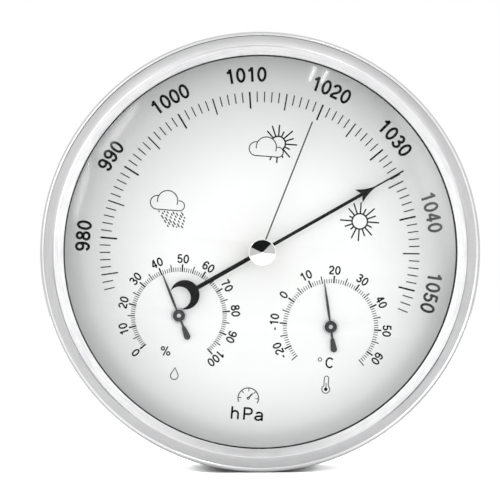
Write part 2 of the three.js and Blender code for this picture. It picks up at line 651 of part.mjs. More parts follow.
function addBarometerHand() {
  const bore = ARBOR_RADIUS + FIT;
  add('dial_bush', turned([
    [bore, BUSH_BACK], [DIAL_BUSH_RADIUS, BUSH_BACK], [DIAL_BUSH_RADIUS, DIAL_FRONT],
    [DIAL_BUSH_FLANGE_RADIUS, DIAL_FRONT], [DIAL_BUSH_FLANGE_RADIUS, DIAL_FRONT + DIAL_BUSH_FLANGE],
    [bore, DIAL_FRONT + DIAL_BUSH_FLANGE],
  ], BOSS_FACETS), brass());

  const turning = groupAt(0, 0, (PRESSURE_READING - PRESSURE_AT_TOP) * DEGREES_PER_HPA);
  const handFront = BARO_HAND_DEPTH + BARO_HAND_THICKNESS;
  add('baro_hand', cut(
    joined(
      plate(baroHandOutline(), BARO_HAND_DEPTH, BARO_HAND_THICKNESS),
      disc(BARO_HUB_RADIUS, BARO_HAND_DEPTH, handFront),
    ),
    disc(bore, BARO_HAND_DEPTH - 1, handFront + 1, PIN_FACETS),
  ), blackPaint(), turning);
  add('baro_hub', ring(
    bore, BARO_HUB_RADIUS, BARO_HAND_DEPTH - BARO_HUB_LENGTH, BARO_HAND_DEPTH, PIN_FACETS,
  ), brass(), turning);
  const shoulder = BRIDGE_FRONT + LOOSE_FIT;
  add('hand_arbor', turned([
    [0, BRIDGE_DEPTH], [ARBOR_PIVOT_RADIUS, BRIDGE_DEPTH], [ARBOR_PIVOT_RADIUS, shoulder],
    [ARBOR_RADIUS, shoulder], [ARBOR_RADIUS, DRUM_BACK - DRUM_FLANGE],
    [DRUM_FLANGE_RADIUS, DRUM_BACK - DRUM_FLANGE], [DRUM_FLANGE_RADIUS, DRUM_BACK], [DRUM_RADIUS, DRUM_BACK],
    [DRUM_RADIUS, DRUM_FRONT], [DRUM_FLANGE_RADIUS, DRUM_FRONT], [DRUM_FLANGE_RADIUS, DRUM_FRONT + DRUM_FLANGE],
    [COLLET_RADIUS, DRUM_FRONT + DRUM_FLANGE], [COLLET_RADIUS, BUSH_BACK - FIT], [ARBOR_RADIUS, BUSH_BACK - FIT],
    [ARBOR_RADIUS, handFront + ARBOR_TIP], [0, handFront + ARBOR_TIP],
  ], PIN_FACETS), plainSteel(), turning);
}

// Small hands and movements

function smallHandOutline() {
  return mirrored([
    [SMALL_TAIL_END_HALF_WIDTH, -SMALL_TAIL_LENGTH], [SMALL_TAIL_HALF_WIDTH, -SMALL_TAIL_WIDEST_AT],
    [SMALL_TAIL_START_HALF_WIDTH, -SMALL_TAIL_START], [SMALL_NECK_HALF_WIDTH, -SMALL_NECK_END],
    [SMALL_NECK_HALF_WIDTH, -SMALL_HUB_RADIUS * 0.8], [SMALL_HAND_ROOT_HALF_WIDTH, SMALL_HUB_RADIUS * 0.8],
    [SMALL_HAND_BELLY_HALF_WIDTH, SMALL_HAND_BELLY_AT], [SMALL_HAND_TIP_HALF_WIDTH, SMALL_HAND_LENGTH],
  ]);
}

function addSmallInstrument(name, x, degrees, coilMaterial) {
  const fixed = groupAt(x, SMALL_SCALE_Z, 0);
  const bore = SMALL_ARBOR_RADIUS + FIT;
  const caseHole = SMALL_BUSH_RADIUS + FIT;
  const caseBack = DIAL_BACK - SMALL_CASE_DEPTH;
  const caseFloor = DIAL_BACK - SMALL_CASE_WALL;
  const caseInner = SMALL_CASE_RADIUS - SMALL_CASE_WALL;
  add(`${name}_case`, turned([
    [caseInner, caseBack], [SMALL_CASE_RADIUS, caseBack], [SMALL_CASE_RADIUS, DIAL_BACK], [caseHole, DIAL_BACK],
    [caseHole, caseFloor], [caseInner, caseFloor],
  ], RING_FACETS / 2), brass(), fixed);
  const bushBack = DIAL_BACK - SMALL_BUSH_TAIL;
  const bushFront = DIAL_FRONT + SMALL_BUSH_FLANGE;
  add(`${name}_bush`, turned([
    [bore, bushBack], [SMALL_BUSH_RADIUS, bushBack], [SMALL_BUSH_RADIUS, DIAL_FRONT],
    [SMALL_BUSH_FLANGE_RADIUS, DIAL_FRONT], [SMALL_BUSH_FLANGE_RADIUS, bushFront], [bore, bushFront],
  ], BOSS_FACETS), plainSteel(), fixed);
  const colletFront = bushBack - LOOSE_FIT;
  const colletBack = colletFront - COIL_COLLET_LENGTH;
  const coilInner = COIL_COLLET_RADIUS + COIL_STRIP;
  const coilOuter = caseInner - COIL_STRIP;
  add(`${name}_coil`, spiral(
    coilInner, coilOuter, COIL_TURNS, COIL_STRIP, colletBack + LOOSE_FIT, COIL_COLLET_LENGTH - 2 * LOOSE_FIT,
  ), coilMaterial, fixed);

  const turning = groupAt(x, SMALL_SCALE_Z, degrees);
  const handFront = SMALL_HAND_DEPTH + SMALL_HAND_THICKNESS;
  const hubFront = handFront + SMALL_HUB_HEIGHT;
  add(`${name}_hand`, cut(
    joined(
      plate(smallHandOutline(), SMALL_HAND_DEPTH, SMALL_HAND_THICKNESS),
      disc(SMALL_HUB_RADIUS, SMALL_HAND_DEPTH, handFront),
    ),
    disc(bore, SMALL_HAND_DEPTH - 1, handFront + 1, PIN_FACETS),
  ), greyPaint(), turning);
  add(`${name}_hub`, ring(bore, SMALL_HUB_RADIUS, handFront, hubFront, BOSS_FACETS), greyPaint(), turning);
  const arborFront = hubFront + SMALL_ARBOR_PROUD;
  add(`${name}_arbor`, turned([
    [0, colletBack], [COIL_COLLET_RADIUS, colletBack], [COIL_COLLET_RADIUS, colletFront],
    [SMALL_ARBOR_RADIUS, colletFront], [SMALL_ARBOR_RADIUS, arborFront], [0, arborFront],
  ], PIN_FACETS), plainSteel(), turning);
}

// Barometer movement

function addMovementPlate() {
  const blank = disc(PLATE_RADIUS, PLATE_DEPTH, PLATE_FRONT, RING_FACETS / 2);
  const drill = (x, z, radius) => moved(disc(radius, PLATE_DEPTH - 1, PLATE_FRONT + 1, PIN_FACETS), x, z);
  const postHoles = POST_PLACES.map(([x, z]) => drill(x, z, SCREW_RADIUS + FIT));
  const footX = BRIDGE_LEG_X + BRIDGE_LEG_THICKNESS / 2 + BRIDGE_FOOT_LENGTH / 2;
  const footHoles = [-1, 1].map((side) => drill(side * footX, 0, BRIDGE_SCREW_RADIUS + FIT));
  const adjusterHole = drill(ADJUSTER_X, ADJUSTER_Z, ADJUSTER_RADIUS + FIT);
  add('movement_plate', cut(blank, ...postHoles, ...footHoles, adjusterHole), plainSteel());

  const headBack = PLATE_DEPTH - POST_SCREW_HEAD_HEIGHT;
  const screw = screwFromBehind(
    headBack, POST_SCREW_HEAD_RADIUS, POST_SCREW_HEAD_HEIGHT, SCREW_RADIUS, PLATE_DEPTH + POST_SCREW_LENGTH,
  );
  const threadEnd = PLATE_DEPTH + POST_SCREW_LENGTH + LOOSE_FIT;
  const threadRadius = SCREW_RADIUS + FIT;
  const post = turned([
    [threadRadius, PLATE_FRONT], [POST_RADIUS, PLATE_FRONT], [POST_RADIUS, DIAL_BACK], [0, DIAL_BACK],
    [0, threadEnd], [threadRadius, threadEnd],
  ], PIN_FACETS);
  POST_PLACES.forEach(([x, z], i) => {
    add(`movement_post_${i + 1}`, moved(post, x, z), brass());
    add(`post_screw_${i + 1}`, moved(screw, x, z), darkSteel());
  });
}

function capsuleProfile() {
  const wave = (depth, outward) => {
    const points = [[CAPSULE_CENTRE_RADIUS, depth]];
    const corrugated = CAPSULE_RADIUS - CAPSULE_RIM_WIDTH - CAPSULE_CENTRE_RADIUS;
    for (let i = 1; i < 2 * CAPSULE_WAVES; i += 1) {
      const offset = i % 2 === 0 ? 0 : -CAPSULE_WAVE_HEIGHT * outward;
      points.push([CAPSULE_CENTRE_RADIUS + corrugated * i / (2 * CAPSULE_WAVES), depth + offset]);
    }
    return points;
  };
  const middle = (CAPSULE_BACK + CAPSULE_FRONT) / 2;
  const rimInner = CAPSULE_RADIUS - CAPSULE_RIM_WIDTH;
  return [
    [0, CAPSULE_BACK], ...wave(CAPSULE_BACK, -1), [rimInner, middle - CAPSULE_RIM / 2],
    [CAPSULE_RADIUS, middle - CAPSULE_RIM / 2], [CAPSULE_RADIUS, middle + CAPSULE_RIM / 2],
    [rimInner, middle + CAPSULE_RIM / 2], ...wave(CAPSULE_FRONT, 1).reverse(), [0, CAPSULE_FRONT],
  ];
}

function addCapsule() {
  add('capsule_seat', disc(CAPSULE_SEAT_RADIUS, PLATE_FRONT, CAPSULE_BACK), brass());
  add('aneroid_capsule', turned(capsuleProfile(), CAPSULE_FACETS), copperAlloy());
  add('capsule_stud', turned([
    [0, CAPSULE_FRONT], [STUD_RADIUS, CAPSULE_FRONT], [STUD_RADIUS, STUD_FRONT], [STUD_NECK_RADIUS, STUD_FRONT],
    [STUD_NECK_RADIUS, STUD_NECK_FRONT], [0, STUD_NECK_FRONT],
  ], PIN_FACETS), brass());
  add('stud_nut', ring(STUD_NECK_RADIUS + FIT, STUD_NUT_RADIUS, STUD_NUT_BACK, STUD_NECK_FRONT, PIN_FACETS), brass());
}

function addLever() {
  const earInner = LEVER_BARREL_LENGTH / 2 + LOOSE_FIT;
  const earOuter = earInner + BRACKET_SHEET;
  const earFront = LEVER_DEPTH + LEVER_BARREL_RADIUS;
  const channel = folded(mirrored([
    [earInner, PLATE_FRONT + BRACKET_SHEET], [earInner, earFront], [earOuter, earFront], [earOuter, PLATE_FRONT],
  ]), LEVER_PIVOT_Z, BRACKET_WIDTH);
  const pinHole = rodX(LEVER_PIN_RADIUS + FIT, 2 * earOuter + 2, 0, LEVER_DEPTH, LEVER_PIVOT_Z);
  add('lever_bracket', cut(channel, pinHole), plainSteel());
  add('lever_pin', rodX(LEVER_PIN_RADIUS, 2 * earOuter + LOOSE_FIT, 0, LEVER_DEPTH, LEVER_PIVOT_Z), plainSteel());

  const strip = plate(mirrored([
    [LEVER_END_HALF_WIDTH, LEVER_END_Z], [LEVER_HALF_WIDTH, LEVER_END_Z / 2], [LEVER_HALF_WIDTH, LEVER_PIVOT_Z],
  ]), LEVER_BACK, LEVER_THICKNESS);
  const barrel = rodX(LEVER_BARREL_RADIUS, LEVER_BARREL_LENGTH, 0, LEVER_DEPTH, LEVER_PIVOT_Z);
  const tongueBack = ROCKING_DEPTH + CRANK_THICKNESS / 2 + LOOSE_FIT;
  const tongueLength = LEVER_DEPTH - tongueBack;
  const tongue = box(TONGUE_SIDE, tongueLength, TONGUE_SIDE, TONGUE_X, tongueBack + tongueLength / 2, TONGUE_Z);
  const studHole = disc(LEVER_HOLE_RADIUS, LEVER_BACK - 1, LEVER_FRONT + 1, PIN_FACETS);
  add('main_lever', cut(joined(strip, barrel, tongue), pinHole, studHole), plainSteel());
}

function addRockingShaft() {
  const earInner = ROCKING_HALF_SPAN;
  const earOuter = earInner + BRACKET_SHEET;
  const earFront = ROCKING_DEPTH + ROCKING_COLLAR_RADIUS;
  const channel = folded(mirrored([
    [earOuter, PLATE_FRONT], [earOuter, earFront], [earInner, earFront], [earInner, PLATE_FRONT + BRACKET_SHEET],
  ]), ROCKING_Z, ROCKING_COLLAR_RADIUS * 2);
  const pivotHole = rodX(ROCKING_PIVOT_RADIUS + FIT, 2 * earOuter + 2, 0, ROCKING_DEPTH, ROCKING_Z);
  add('rocking_bracket', cut(channel, pivotHole), plainSteel());
  add('rocking_shaft', joined(
    rodX(ROCKING_RADIUS, 2 * (earInner - FIT), 0, ROCKING_DEPTH, ROCKING_Z),
    rodX(ROCKING_PIVOT_RADIUS, 2 * earOuter + LOOSE_FIT, 0, ROCKING_DEPTH, ROCKING_Z),
  ), plainSteel());

  const collar = (x) => rodX(ROCKING_COLLAR_RADIUS, ROCKING_COLLAR_LENGTH, x, ROCKING_DEPTH, ROCKING_Z);
  const bore = rodX(ROCKING_RADIUS + FIT, 4 * ROCKING_HALF_SPAN, 0, ROCKING_DEPTH, ROCKING_Z);
  const crankReach = TONGUE_Z + TONGUE_SIDE / 2 - ROCKING_Z;
  const crankBar = box(
    ROCKING_COLLAR_LENGTH, CRANK_THICKNESS, crankReach, TONGUE_X, ROCKING_DEPTH, ROCKING_Z + crankReach / 2,
  );
  add('crank_arm', cut(joined(collar(TONGUE_X), crankBar), bore), brass());
  const armLength = CHAIN_DEPTH + CHAIN_RADIUS * 2 - ROCKING_DEPTH;
  const armBar = box(
    CHAIN_ARM_WIDTH, armLength, CHAIN_ARM_THICKNESS, CHAIN_X, ROCKING_DEPTH + armLength / 2, ROCKING_Z,
  );
  add('chain_arm', cut(joined(collar(CHAIN_X), armBar), bore), brass());
  const chainEnd = ROCKING_Z + CHAIN_ARM_THICKNESS / 2 + FIT;
  const chain = new THREE.CylinderGeometry(CHAIN_RADIUS, CHAIN_RADIUS, -chainEnd, CHAIN_FACETS);
  chain.rotateX(Math.PI / 2);
  chain.translate(CHAIN_X, -CHAIN_DEPTH, chainEnd / 2);
  add('chain', chain, plainSteel());
}

function addBridge() {
  const legOuter = BRIDGE_LEG_X + BRIDGE_LEG_THICKNESS / 2;
  const legInner = BRIDGE_LEG_X - BRIDGE_LEG_THICKNESS / 2;
  const footOuter = legOuter + BRIDGE_FOOT_LENGTH;
  const footFront = PLATE_FRONT + BRIDGE_THICKNESS;
  const arch = folded(mirrored([
    [legInner, BRIDGE_DEPTH], [legInner, PLATE_FRONT], [footOuter, PLATE_FRONT], [footOuter, footFront],
    [legOuter, footFront], [legOuter, BRIDGE_FRONT],
  ]), 0, BRIDGE_WIDTH);
  const footX = legOuter + BRIDGE_FOOT_LENGTH / 2;
  const footHoles = [-1, 1].map((side) =>
    moved(disc(BRIDGE_SCREW_RADIUS + FIT, PLATE_DEPTH, footFront + 1, PIN_FACETS), side * footX, 0));
  const pivotHole = disc(ARBOR_PIVOT_RADIUS + FIT, BRIDGE_DEPTH - 1, BRIDGE_FRONT + 1, PIN_FACETS);
  const springBack = DRUM_FRONT + DRUM_FLANGE + FIT;
  const studHeight = springBack + SPRING_WIDTH - BRIDGE_DEPTH;
  const studPost = box(
    SPRING_STUD_SIDE, studHeight, SPRING_STUD_SIDE, SPRING_STUD_RADIUS, BRIDGE_DEPTH + studHeight / 2, 0,
  );
  add('bridge', cut(joined(arch, studPost), ...footHoles, pivotHole), brass());
  add('hairspring', spiral(
    COLLET_RADIUS + SPRING_STRIP, SPRING_STUD_RADIUS - SPRING_STUD_SIDE / 2 - SPRING_STRIP, SPRING_TURNS,
    SPRING_STRIP, springBack, SPRING_WIDTH,
  ), copperAlloy());
  const head = footFront + BRIDGE_SCREW_HEAD_HEIGHT;
  const screw = cut(
    turned([
      [0, PLATE_DEPTH], [BRIDGE_SCREW_RADIUS, PLATE_DEPTH], [BRIDGE_SCREW_RADIUS, footFront],
      [BRIDGE_SCREW_HEAD_RADIUS, footFront], [BRIDGE_SCREW_HEAD_RADIUS, head], [0, head],
    ], PIN_FACETS),
    box(BRIDGE_SCREW_HEAD_RADIUS * 3, ADJUSTER_SLOT_DEPTH, ADJUSTER_SLOT_WIDTH, 0, head, 0),
  );
  [-1, 1].forEach((side, i) => add(`bridge_screw_${i + 1}`, moved(screw, side * footX, 0), darkSteel()));
}

function addAdjustingScrew() {
  const headBack = PLATE_DEPTH - FIT - ADJUSTER_HEAD_HEIGHT;
  const body = turned([
    [0, headBack], [ADJUSTER_HEAD_RADIUS, headBack], [ADJUSTER_HEAD_RADIUS, PLATE_DEPTH - FIT],
    [ADJUSTER_RADIUS, PLATE_DEPTH - FIT], [ADJUSTER_RADIUS, PLATE_DEPTH + ADJUSTER_LENGTH],
    [0, PLATE_DEPTH + ADJUSTER_LENGTH],
  ], PIN_FACETS);
  const slot = box(ADJUSTER_HEAD_RADIUS * 3, ADJUSTER_SLOT_DEPTH * 2, ADJUSTER_SLOT_WIDTH, 0, headBack, 0);
  add('adjusting_screw', moved(cut(body, slot), ADJUSTER_X, ADJUSTER_Z), brass());
}

addBezelRing();
addGlassStack();
addDialPlate();
addRearCover();
addLugsAndScrews();
addSetHand();
addBarometerHand();
addSmallInstrument(
  'hygro', -SMALL_SCALE_X, (HUMIDITY_READING - HUMIDITY_AT_TOP) * DEGREES_PER_PERCENT, copperAlloy(),
);
addSmallInstrument(
  'thermo', SMALL_SCALE_X, (CELSIUS_READING - CELSIUS_AT_TOP) * DEGREES_PER_CELSIUS, plainSteel(),
);
addMovementPlate();
addCapsule();
addLever();
addRockingShaft();
addBridge();
addAdjustingScrew();

export default root;
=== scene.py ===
"""Looks of an analog weather station: a round wall barometer with a hygrometer and a thermometer in its dial.

The classes hold sizes in millimetres and the meshes are in metres. The dial faces -Y, 12 o'clock is +Z, and a
depth is measured forward from the wall face at y = 0. Dial angles are in degrees clockwise from 12 o'clock.
"""

import json
import logging
import math
from collections.abc import Callable, Sequence
from dataclasses import dataclass, field
from enum import Enum

import bmesh
import bpy
from mathutils import Matrix, Vector
from mathutils.geometry import tessellate_polygon


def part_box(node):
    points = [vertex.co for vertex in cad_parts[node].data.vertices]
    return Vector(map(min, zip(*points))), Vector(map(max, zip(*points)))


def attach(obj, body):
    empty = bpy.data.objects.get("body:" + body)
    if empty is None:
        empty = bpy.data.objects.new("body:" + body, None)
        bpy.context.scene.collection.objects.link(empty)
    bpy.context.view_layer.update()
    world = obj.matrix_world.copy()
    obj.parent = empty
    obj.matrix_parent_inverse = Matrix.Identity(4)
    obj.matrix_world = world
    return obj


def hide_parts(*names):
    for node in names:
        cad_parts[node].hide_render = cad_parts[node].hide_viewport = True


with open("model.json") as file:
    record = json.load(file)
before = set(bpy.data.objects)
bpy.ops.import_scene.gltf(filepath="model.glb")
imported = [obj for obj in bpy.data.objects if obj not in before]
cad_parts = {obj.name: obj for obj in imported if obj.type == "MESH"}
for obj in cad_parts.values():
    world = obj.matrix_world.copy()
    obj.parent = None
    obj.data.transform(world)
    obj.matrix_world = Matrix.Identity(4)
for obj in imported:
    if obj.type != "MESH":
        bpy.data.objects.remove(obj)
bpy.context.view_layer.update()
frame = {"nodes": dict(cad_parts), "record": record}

LOG = logging.getLogger("weather_station")
MM = 0.001
ON_AXIS = 1e-6
SHARP_FROM = 32.0
FIT = 0.05

Point = tuple[float, float]
Place = tuple[float, float, float]
Colour = tuple[float, float, float]
Item = bpy.types.Object
Material = bpy.types.Material
Socket = bpy.types.NodeSocket

CENTRE: Point = (0.0, 0.0)


class Body(Enum):
    """CAD bodies that pieces ride on."""

    CASE = "case_and_dial"
    SET = "set_pointer"
    BARO = "baro_pointer"
    HYGRO = "hygro_pointer"
    THERMO = "thermo_pointer"
    ADJUSTER = "adjuster"


class Slot(Enum):
    """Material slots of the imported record."""

    RING = "polished_ring"
    KNOB = "polished_knob"
    ZINC = "zinc_steel"
    DARK_STEEL = "dark_steel"
    BRASS = "brass"
    COPPER = "copper_alloy"
    COIL = "coil_strip"
    GLASS = "clear_glass"
    DIAL = "white_dial"
    BLACK_PAINT = "black_paint"
    GREY_PAINT = "grey_paint"
    BLACK_PLASTIC = "black_plastic"
    WHITE_PLASTIC = "white_plastic"
    RUBBER = "black_rubber"


class Grain(Enum):
    """Direction in which a finish's fine marks run."""

    TURNED = "turned"
    ROLLED = "rolled"
    EVEN = "even"


# Places and outlines


def clock(radius: float, degrees: float, centre: Point = CENTRE) -> Point:
    """Place at a radius and a dial angle round a centre."""
    angle = math.radians(degrees)
    return centre[0] + radius * math.sin(angle), centre[1] + radius * math.cos(angle)


def turned_about(point: Point, degrees: float, centre: Point = CENTRE) -> Point:
    """A point written upright, after its piece turns clockwise and moves to a centre."""
    sine, cosine = math.sin(math.radians(degrees)), math.cos(math.radians(degrees))
    return centre[0] + point[0] * cosine + point[1] * sine, centre[1] - point[0] * sine + point[1] * cosine


def arc(centre: Point, radii: Point, start: float, end: float, steps: int = 14) -> list[Point]:
    """Points along an ellipse.

    Args:
        centre: Middle of the ellipse.
        radii: Its radius across and its radius up.
        start: First angle in degrees, counterclockwise from the right.
        end: Last angle, smaller than start for a clockwise arc.
        steps: Number of straight steps.

    Returns:
        The points from start to end, both included.
    """
    angles = [math.radians(start + (end - start) * i / steps) for i in range(steps + 1)]
    return [(centre[0] + radii[0] * math.cos(a), centre[1] + radii[1] * math.sin(a)) for a in angles]


def circle(radius: float, centre: Point = CENTRE, steps: int = 64) -> list[Point]:
    """Points of a whole circle, counterclockwise."""
    return arc(centre, (radius, radius), 0, 360, steps)[:-1]


def bend(start: Vector, pull: Vector, end: Vector, steps: int) -> list[Point]:
    """Points of a curve from a start to an end, drawn towards one place between them."""
    shares = [i / steps for i in range(steps + 1)]
    points = [start * (1 - t) ** 2 + pull * 2 * t * (1 - t) + end * t**2 for t in shares]
    return [(point.x, point.y) for point in points]


def boss(radius: float, tail: float, neck: float, steps: int = 24) -> list[Point]:
    """Right side of a hand's round boss, from half the width of its tail up to half that of its neck."""
    low, high = (math.degrees(math.asin(width / radius)) for width in (tail, neck))
    return [clock(radius, 180 - low + (high + low - 180) * i / steps) for i in range(steps + 1)]


def mirrored(right_side: Sequence[Point]) -> list[Point]:
    """A loop that is the same on both sides of the upright line, from its right side."""
    return [*right_side, *((-x, y) for x, y in reversed(right_side) if x > ON_AXIS)]


def softened(corners: Sequence[Place], closed: bool, steps: int = 4) -> list[Point]:
    """A profile with its corners rounded.

    Args:
        corners: (radius, depth, rounding) of each, where the rounding is the length taken off each side.
        closed: Whether the last corner joins the first.
        steps: Straight steps in each rounded corner.

    Returns:
        The rounded profile.
    """
    result: list[Point] = []
    count = len(corners)
    for i, (x, y, rounding) in enumerate(corners):
        if rounding <= 0 or (not closed and i in (0, count - 1)):
            result.append((x, y))
            continue
        corner = Vector((x, y))
        sides = [Vector(corners[j % count][:2]) - corner for j in (i - 1, i + 1)]
        start, end = (corner + side.normalized() * min(rounding, side.length * 0.49) for side in sides)
        result += bend(start, corner, end, steps)
    return result


@dataclass(frozen=True)
class Outline:
    """Closed loops in the dial's plane: the first is the outer edge and the rest are holes."""

    loops: tuple[tuple[Point, ...], ...]

    @classmethod
    def of(cls, outer: Sequence[Point], *holes: Sequence[Point]) -> "Outline":
        """Outline with its outer loop counterclockwise and its holes clockwise."""

        def wound(loop: Sequence[Point], forward: bool) -> tuple[Point, ...]:
            """The loop, counterclockwise if forward."""
            area = sum(a[0] * b[1] - b[0] * a[1] for a, b in zip(loop, [*loop[1:], loop[0]]))
            return tuple(loop) if (area > 0) == forward else tuple(reversed(loop))

        return cls((wound(outer, True), *(wound(hole, False) for hole in holes)))

    def placed(self, degrees: float, centre: Point = CENTRE) -> "Outline":
        """The outline turned clockwise and moved to a centre."""
        return Outline(tuple(tuple(turned_about(p, degrees, centre) for p in loop) for loop in self.loops))

    def inset(self, amount: float) -> list[list[Point]]:
        """Loops moved into the material, or out of it by a negative amount."""
        moved = []
        for loop in self.loops:
            points = []
            for i, here in enumerate(loop):
                back = Vector(here) - Vector(loop[i - 1])
                ahead = Vector(loop[(i + 1) % len(loop)]) - Vector(here)
                first, second = (Vector((-side.y, side.x)).normalized() for side in (back, ahead))
                mitre = (first + second) / max(0.5, 1 + first.dot(second))
                points.append((here[0] + mitre.x * amount, here[1] + mitre.y * amount))
            moved.append(points)
        return moved


def rounded_sections(back: float, front: float, edge: float, steps: int = 3) -> list[Point]:
    """Depth and inset of each section of a flat piece with rounded edges, from back to front."""
    turns = [math.radians(90 * i / steps) for i in range(steps + 1)]
    rear = [(back + edge * (1 - math.cos(a)), edge * (1 - math.sin(a))) for a in turns]
    return [*rear, *((front + back - depth, inset) for depth, inset in reversed(rear))]


# Meshes


class SolidPen:
    """Draws closed solids in millimetres as (x, depth, z), and makes one Blender object of them."""

    def __init__(self) -> None:
        """Starts with nothing drawn."""
        self.vertices: list[Place] = []
        self.faces: list[tuple[int, ...]] = []
        self.slots: list[int] = []

    def add(
        self, vertices: Sequence[Place], faces: Sequence[Sequence[int]], slots: Sequence[int] = ()
    ) -> None:
        """Adds one solid from its corners, its faces as corner numbers and each face's material number."""
        first = len(self.vertices)
        self.vertices.extend(vertices)
        self.faces.extend(tuple(first + i for i in face) for face in faces)
        self.slots.extend(slots or [0] * len(faces))

    def turn(
        self, profile: Sequence[Point], steps: int = 96, centre: Point = CENTRE, slots: Sequence[int] = ()
    ) -> None:
        """Adds a turned solid.

        Args:
            profile: (radius, depth) points, from axis to axis or closing on themselves.
            steps: Facets round the axis.
            centre: Where the axis crosses the dial's plane.
            slots: Material number of each step of the profile, all 0 if left out.
        """
        closed = profile[0][0] > ON_AXIS
        rows: list[list[int]] = []
        vertices: list[Place] = []
        for radius, depth in profile:
            first = len(vertices)
            if radius < ON_AXIS:
                rows.append([first] * steps)
                vertices.append((centre[0], depth, centre[1]))
                continue
            rows.append(list(range(first, first + steps)))
            places = [clock(radius, 360 * j / steps, centre) for j in range(steps)]
            vertices += [(x, depth, z) for x, z in places]
        faces: list[tuple[int, ...]] = []
        chosen: list[int] = []
        pairs = list(zip(rows, [*rows[1:], rows[0]]))
        for number, (near, far) in enumerate(pairs if closed else pairs[:-1]):
            for j in range(steps):
                k = (j + 1) % steps
                corners = tuple(dict.fromkeys((near[j], near[k], far[k], far[j])))
                if len(corners) > 2:
                    faces.append(corners)
                    chosen.append(slots[number] if slots else 0)
        self.add(vertices, faces, chosen)

    def extrude(self, outline: Outline, sections: Sequence[Point]) -> None:
        """Adds a flat solid.

        Args:
            outline: Its edge and holes.
            sections: (depth, inset) of each section from back to front.
        """
        layers = [outline.inset(inset) for _, inset in sections]
        size = sum(len(loop) for loop in layers[0])
        vertices = [
            (x, depth, z) for (depth, _), layer in zip(sections, layers) for loop in layer for x, z in loop
        ]
        faces: list[tuple[int, ...]] = []
        for level in range(len(sections) - 1):
            start = level * size
            for loop in layers[0]:
                count = len(loop)
                for i in range(count):
                    a, b = start + i, start + (i + 1) % count
                    faces.append((a, b, b + size, a + size))
                start += count
        for level in (0, len(sections) - 1):
            flat = [[Vector((x, z, 0.0)) for x, z in loop] for loop in layers[level]]
            faces.extend(tuple(i + level * size for i in triangle) for triangle in tessellate_polygon(flat))
        self.add(vertices, faces)

    def box(self, size: Place, middle: Place, degrees: float = 0.0) -> None:
        """Adds a block of (width, depth, height) about a middle, turned round the dial's axis."""
        width, thickness, height = (s / 2 for s in size)
        corners = []
        for sx, sd, sz in [(x, d, z) for x in (-1, 1) for d in (-1, 1) for z in (-1, 1)]:
            x, z = turned_about((middle[0] + sx * width, middle[2] + sz * height), degrees)
            corners.append((x, middle[1] + sd * thickness, z))
        sides = [(0, 1, 3, 2), (4, 6, 7, 5), (0, 4, 5, 1), (2, 3, 7, 6), (0, 2, 6, 4), (1, 5, 7, 3)]
        self.add(corners, sides)

    def ribbon(self, points: Sequence[Point], width: float, back: float, front: float, closed: bool) -> None:
        """Adds a thin raised line.

        Args:
            points: Its middle line in the dial's plane.
            width: Its width.
            back: Depth of its underside.
            front: Depth of its face.
            closed: Whether it joins its own start.
        """
        count = len(points)
        vertices: list[Place] = []
        for i, here in enumerate(points):
            steps = []
            if closed or i > 0:
                steps.append(Vector(here) - Vector(points[i - 1]))
            if closed or i < count - 1:
                steps.append(Vector(points[(i + 1) % count]) - Vector(here))
            normals = [Vector((-s.y, s.x)).normalized() for s in steps]
            side = sum(normals, Vector((0, 0)))
            if len(normals) == 2:
                side = side / max(0.6, 1 + normals[0].dot(normals[1]))
            side = side * width / 2
            edges = ((1, front), (-1, front), (-1, back), (1, back))
            vertices += [(here[0] + side.x * way, depth, here[1] + side.y * way) for way, depth in edges]
        faces: list[tuple[int, ...]] = []
        for i in range(count if closed else count - 1):
            a, b = 4 * i, 4 * ((i + 1) % count)
            faces += [(a + k, a + (k + 1) % 4, b + (k + 1) % 4, b + k) for k in range(4)]
        if not closed:
            end = 4 * (count - 1)
            faces += [(3, 2, 1, 0), (end, end + 1, end + 2, end + 3)]
        self.add(vertices, faces)

    def finish(self, name: str, *materials: Material, sharp_from: float = SHARP_FROM) -> Item:
        """Makes the object.

        Args:
            name: Its name.
            materials: Its materials, in the order of the faces' material numbers.
            sharp_from: Angle in degrees from which an edge stays sharp.

        Returns:
            The object, at rest in the frame.
        """
        mesh = bpy.data.meshes.new(name)
        mesh.from_pydata([(x * MM, -d * MM, z * MM) for x, d, z in self.vertices], [], self.faces)
        mesh.polygons.foreach_set("material_index", self.slots)
        for material in materials:
            mesh.materials.append(material)
        rework(mesh, sharp_from)
        item = bpy.data.objects.new(name, mesh)
        bpy.context.scene.collection.objects.link(item)
        return item


def rework(mesh: bpy.types.Mesh, sharp_from: float = SHARP_FROM) -> None:
    """Turns a mesh's faces outward and smooths them between sharp edges."""
    work = bmesh.new()
    work.from_mesh(mesh)
    bmesh.ops.remove_doubles(work, verts=work.verts, dist=1e-8)
    bmesh.ops.recalc_face_normals(work, faces=work.faces)
    work.to_mesh(mesh)
    work.free()
    mesh.shade_smooth()
    mesh.set_sharp_from_angle(angle=math.radians(sharp_from))
    mesh.update()


def combined(item: Item, pen: SolidPen, operation: str = "DIFFERENCE") -> None:
    """Cuts a pen's solids out of an object, or joins them to it with the operation UNION."""
    tool = pen.finish(f"{item.name}_tool")
    change = item.modifiers.new("shape", "BOOLEAN")
    change.operation, change.object, change.solver = operation, tool, "EXACT"
    graph = bpy.context.evaluated_depsgraph_get()
    mesh = bpy.data.meshes.new_from_object(item.evaluated_get(graph))
    item.modifiers.clear()
    old = item.data
    item.data = mesh
    bpy.data.meshes.remove(old)
    bpy.data.objects.remove(tool)
    rework(mesh)
    mesh.name = item.name


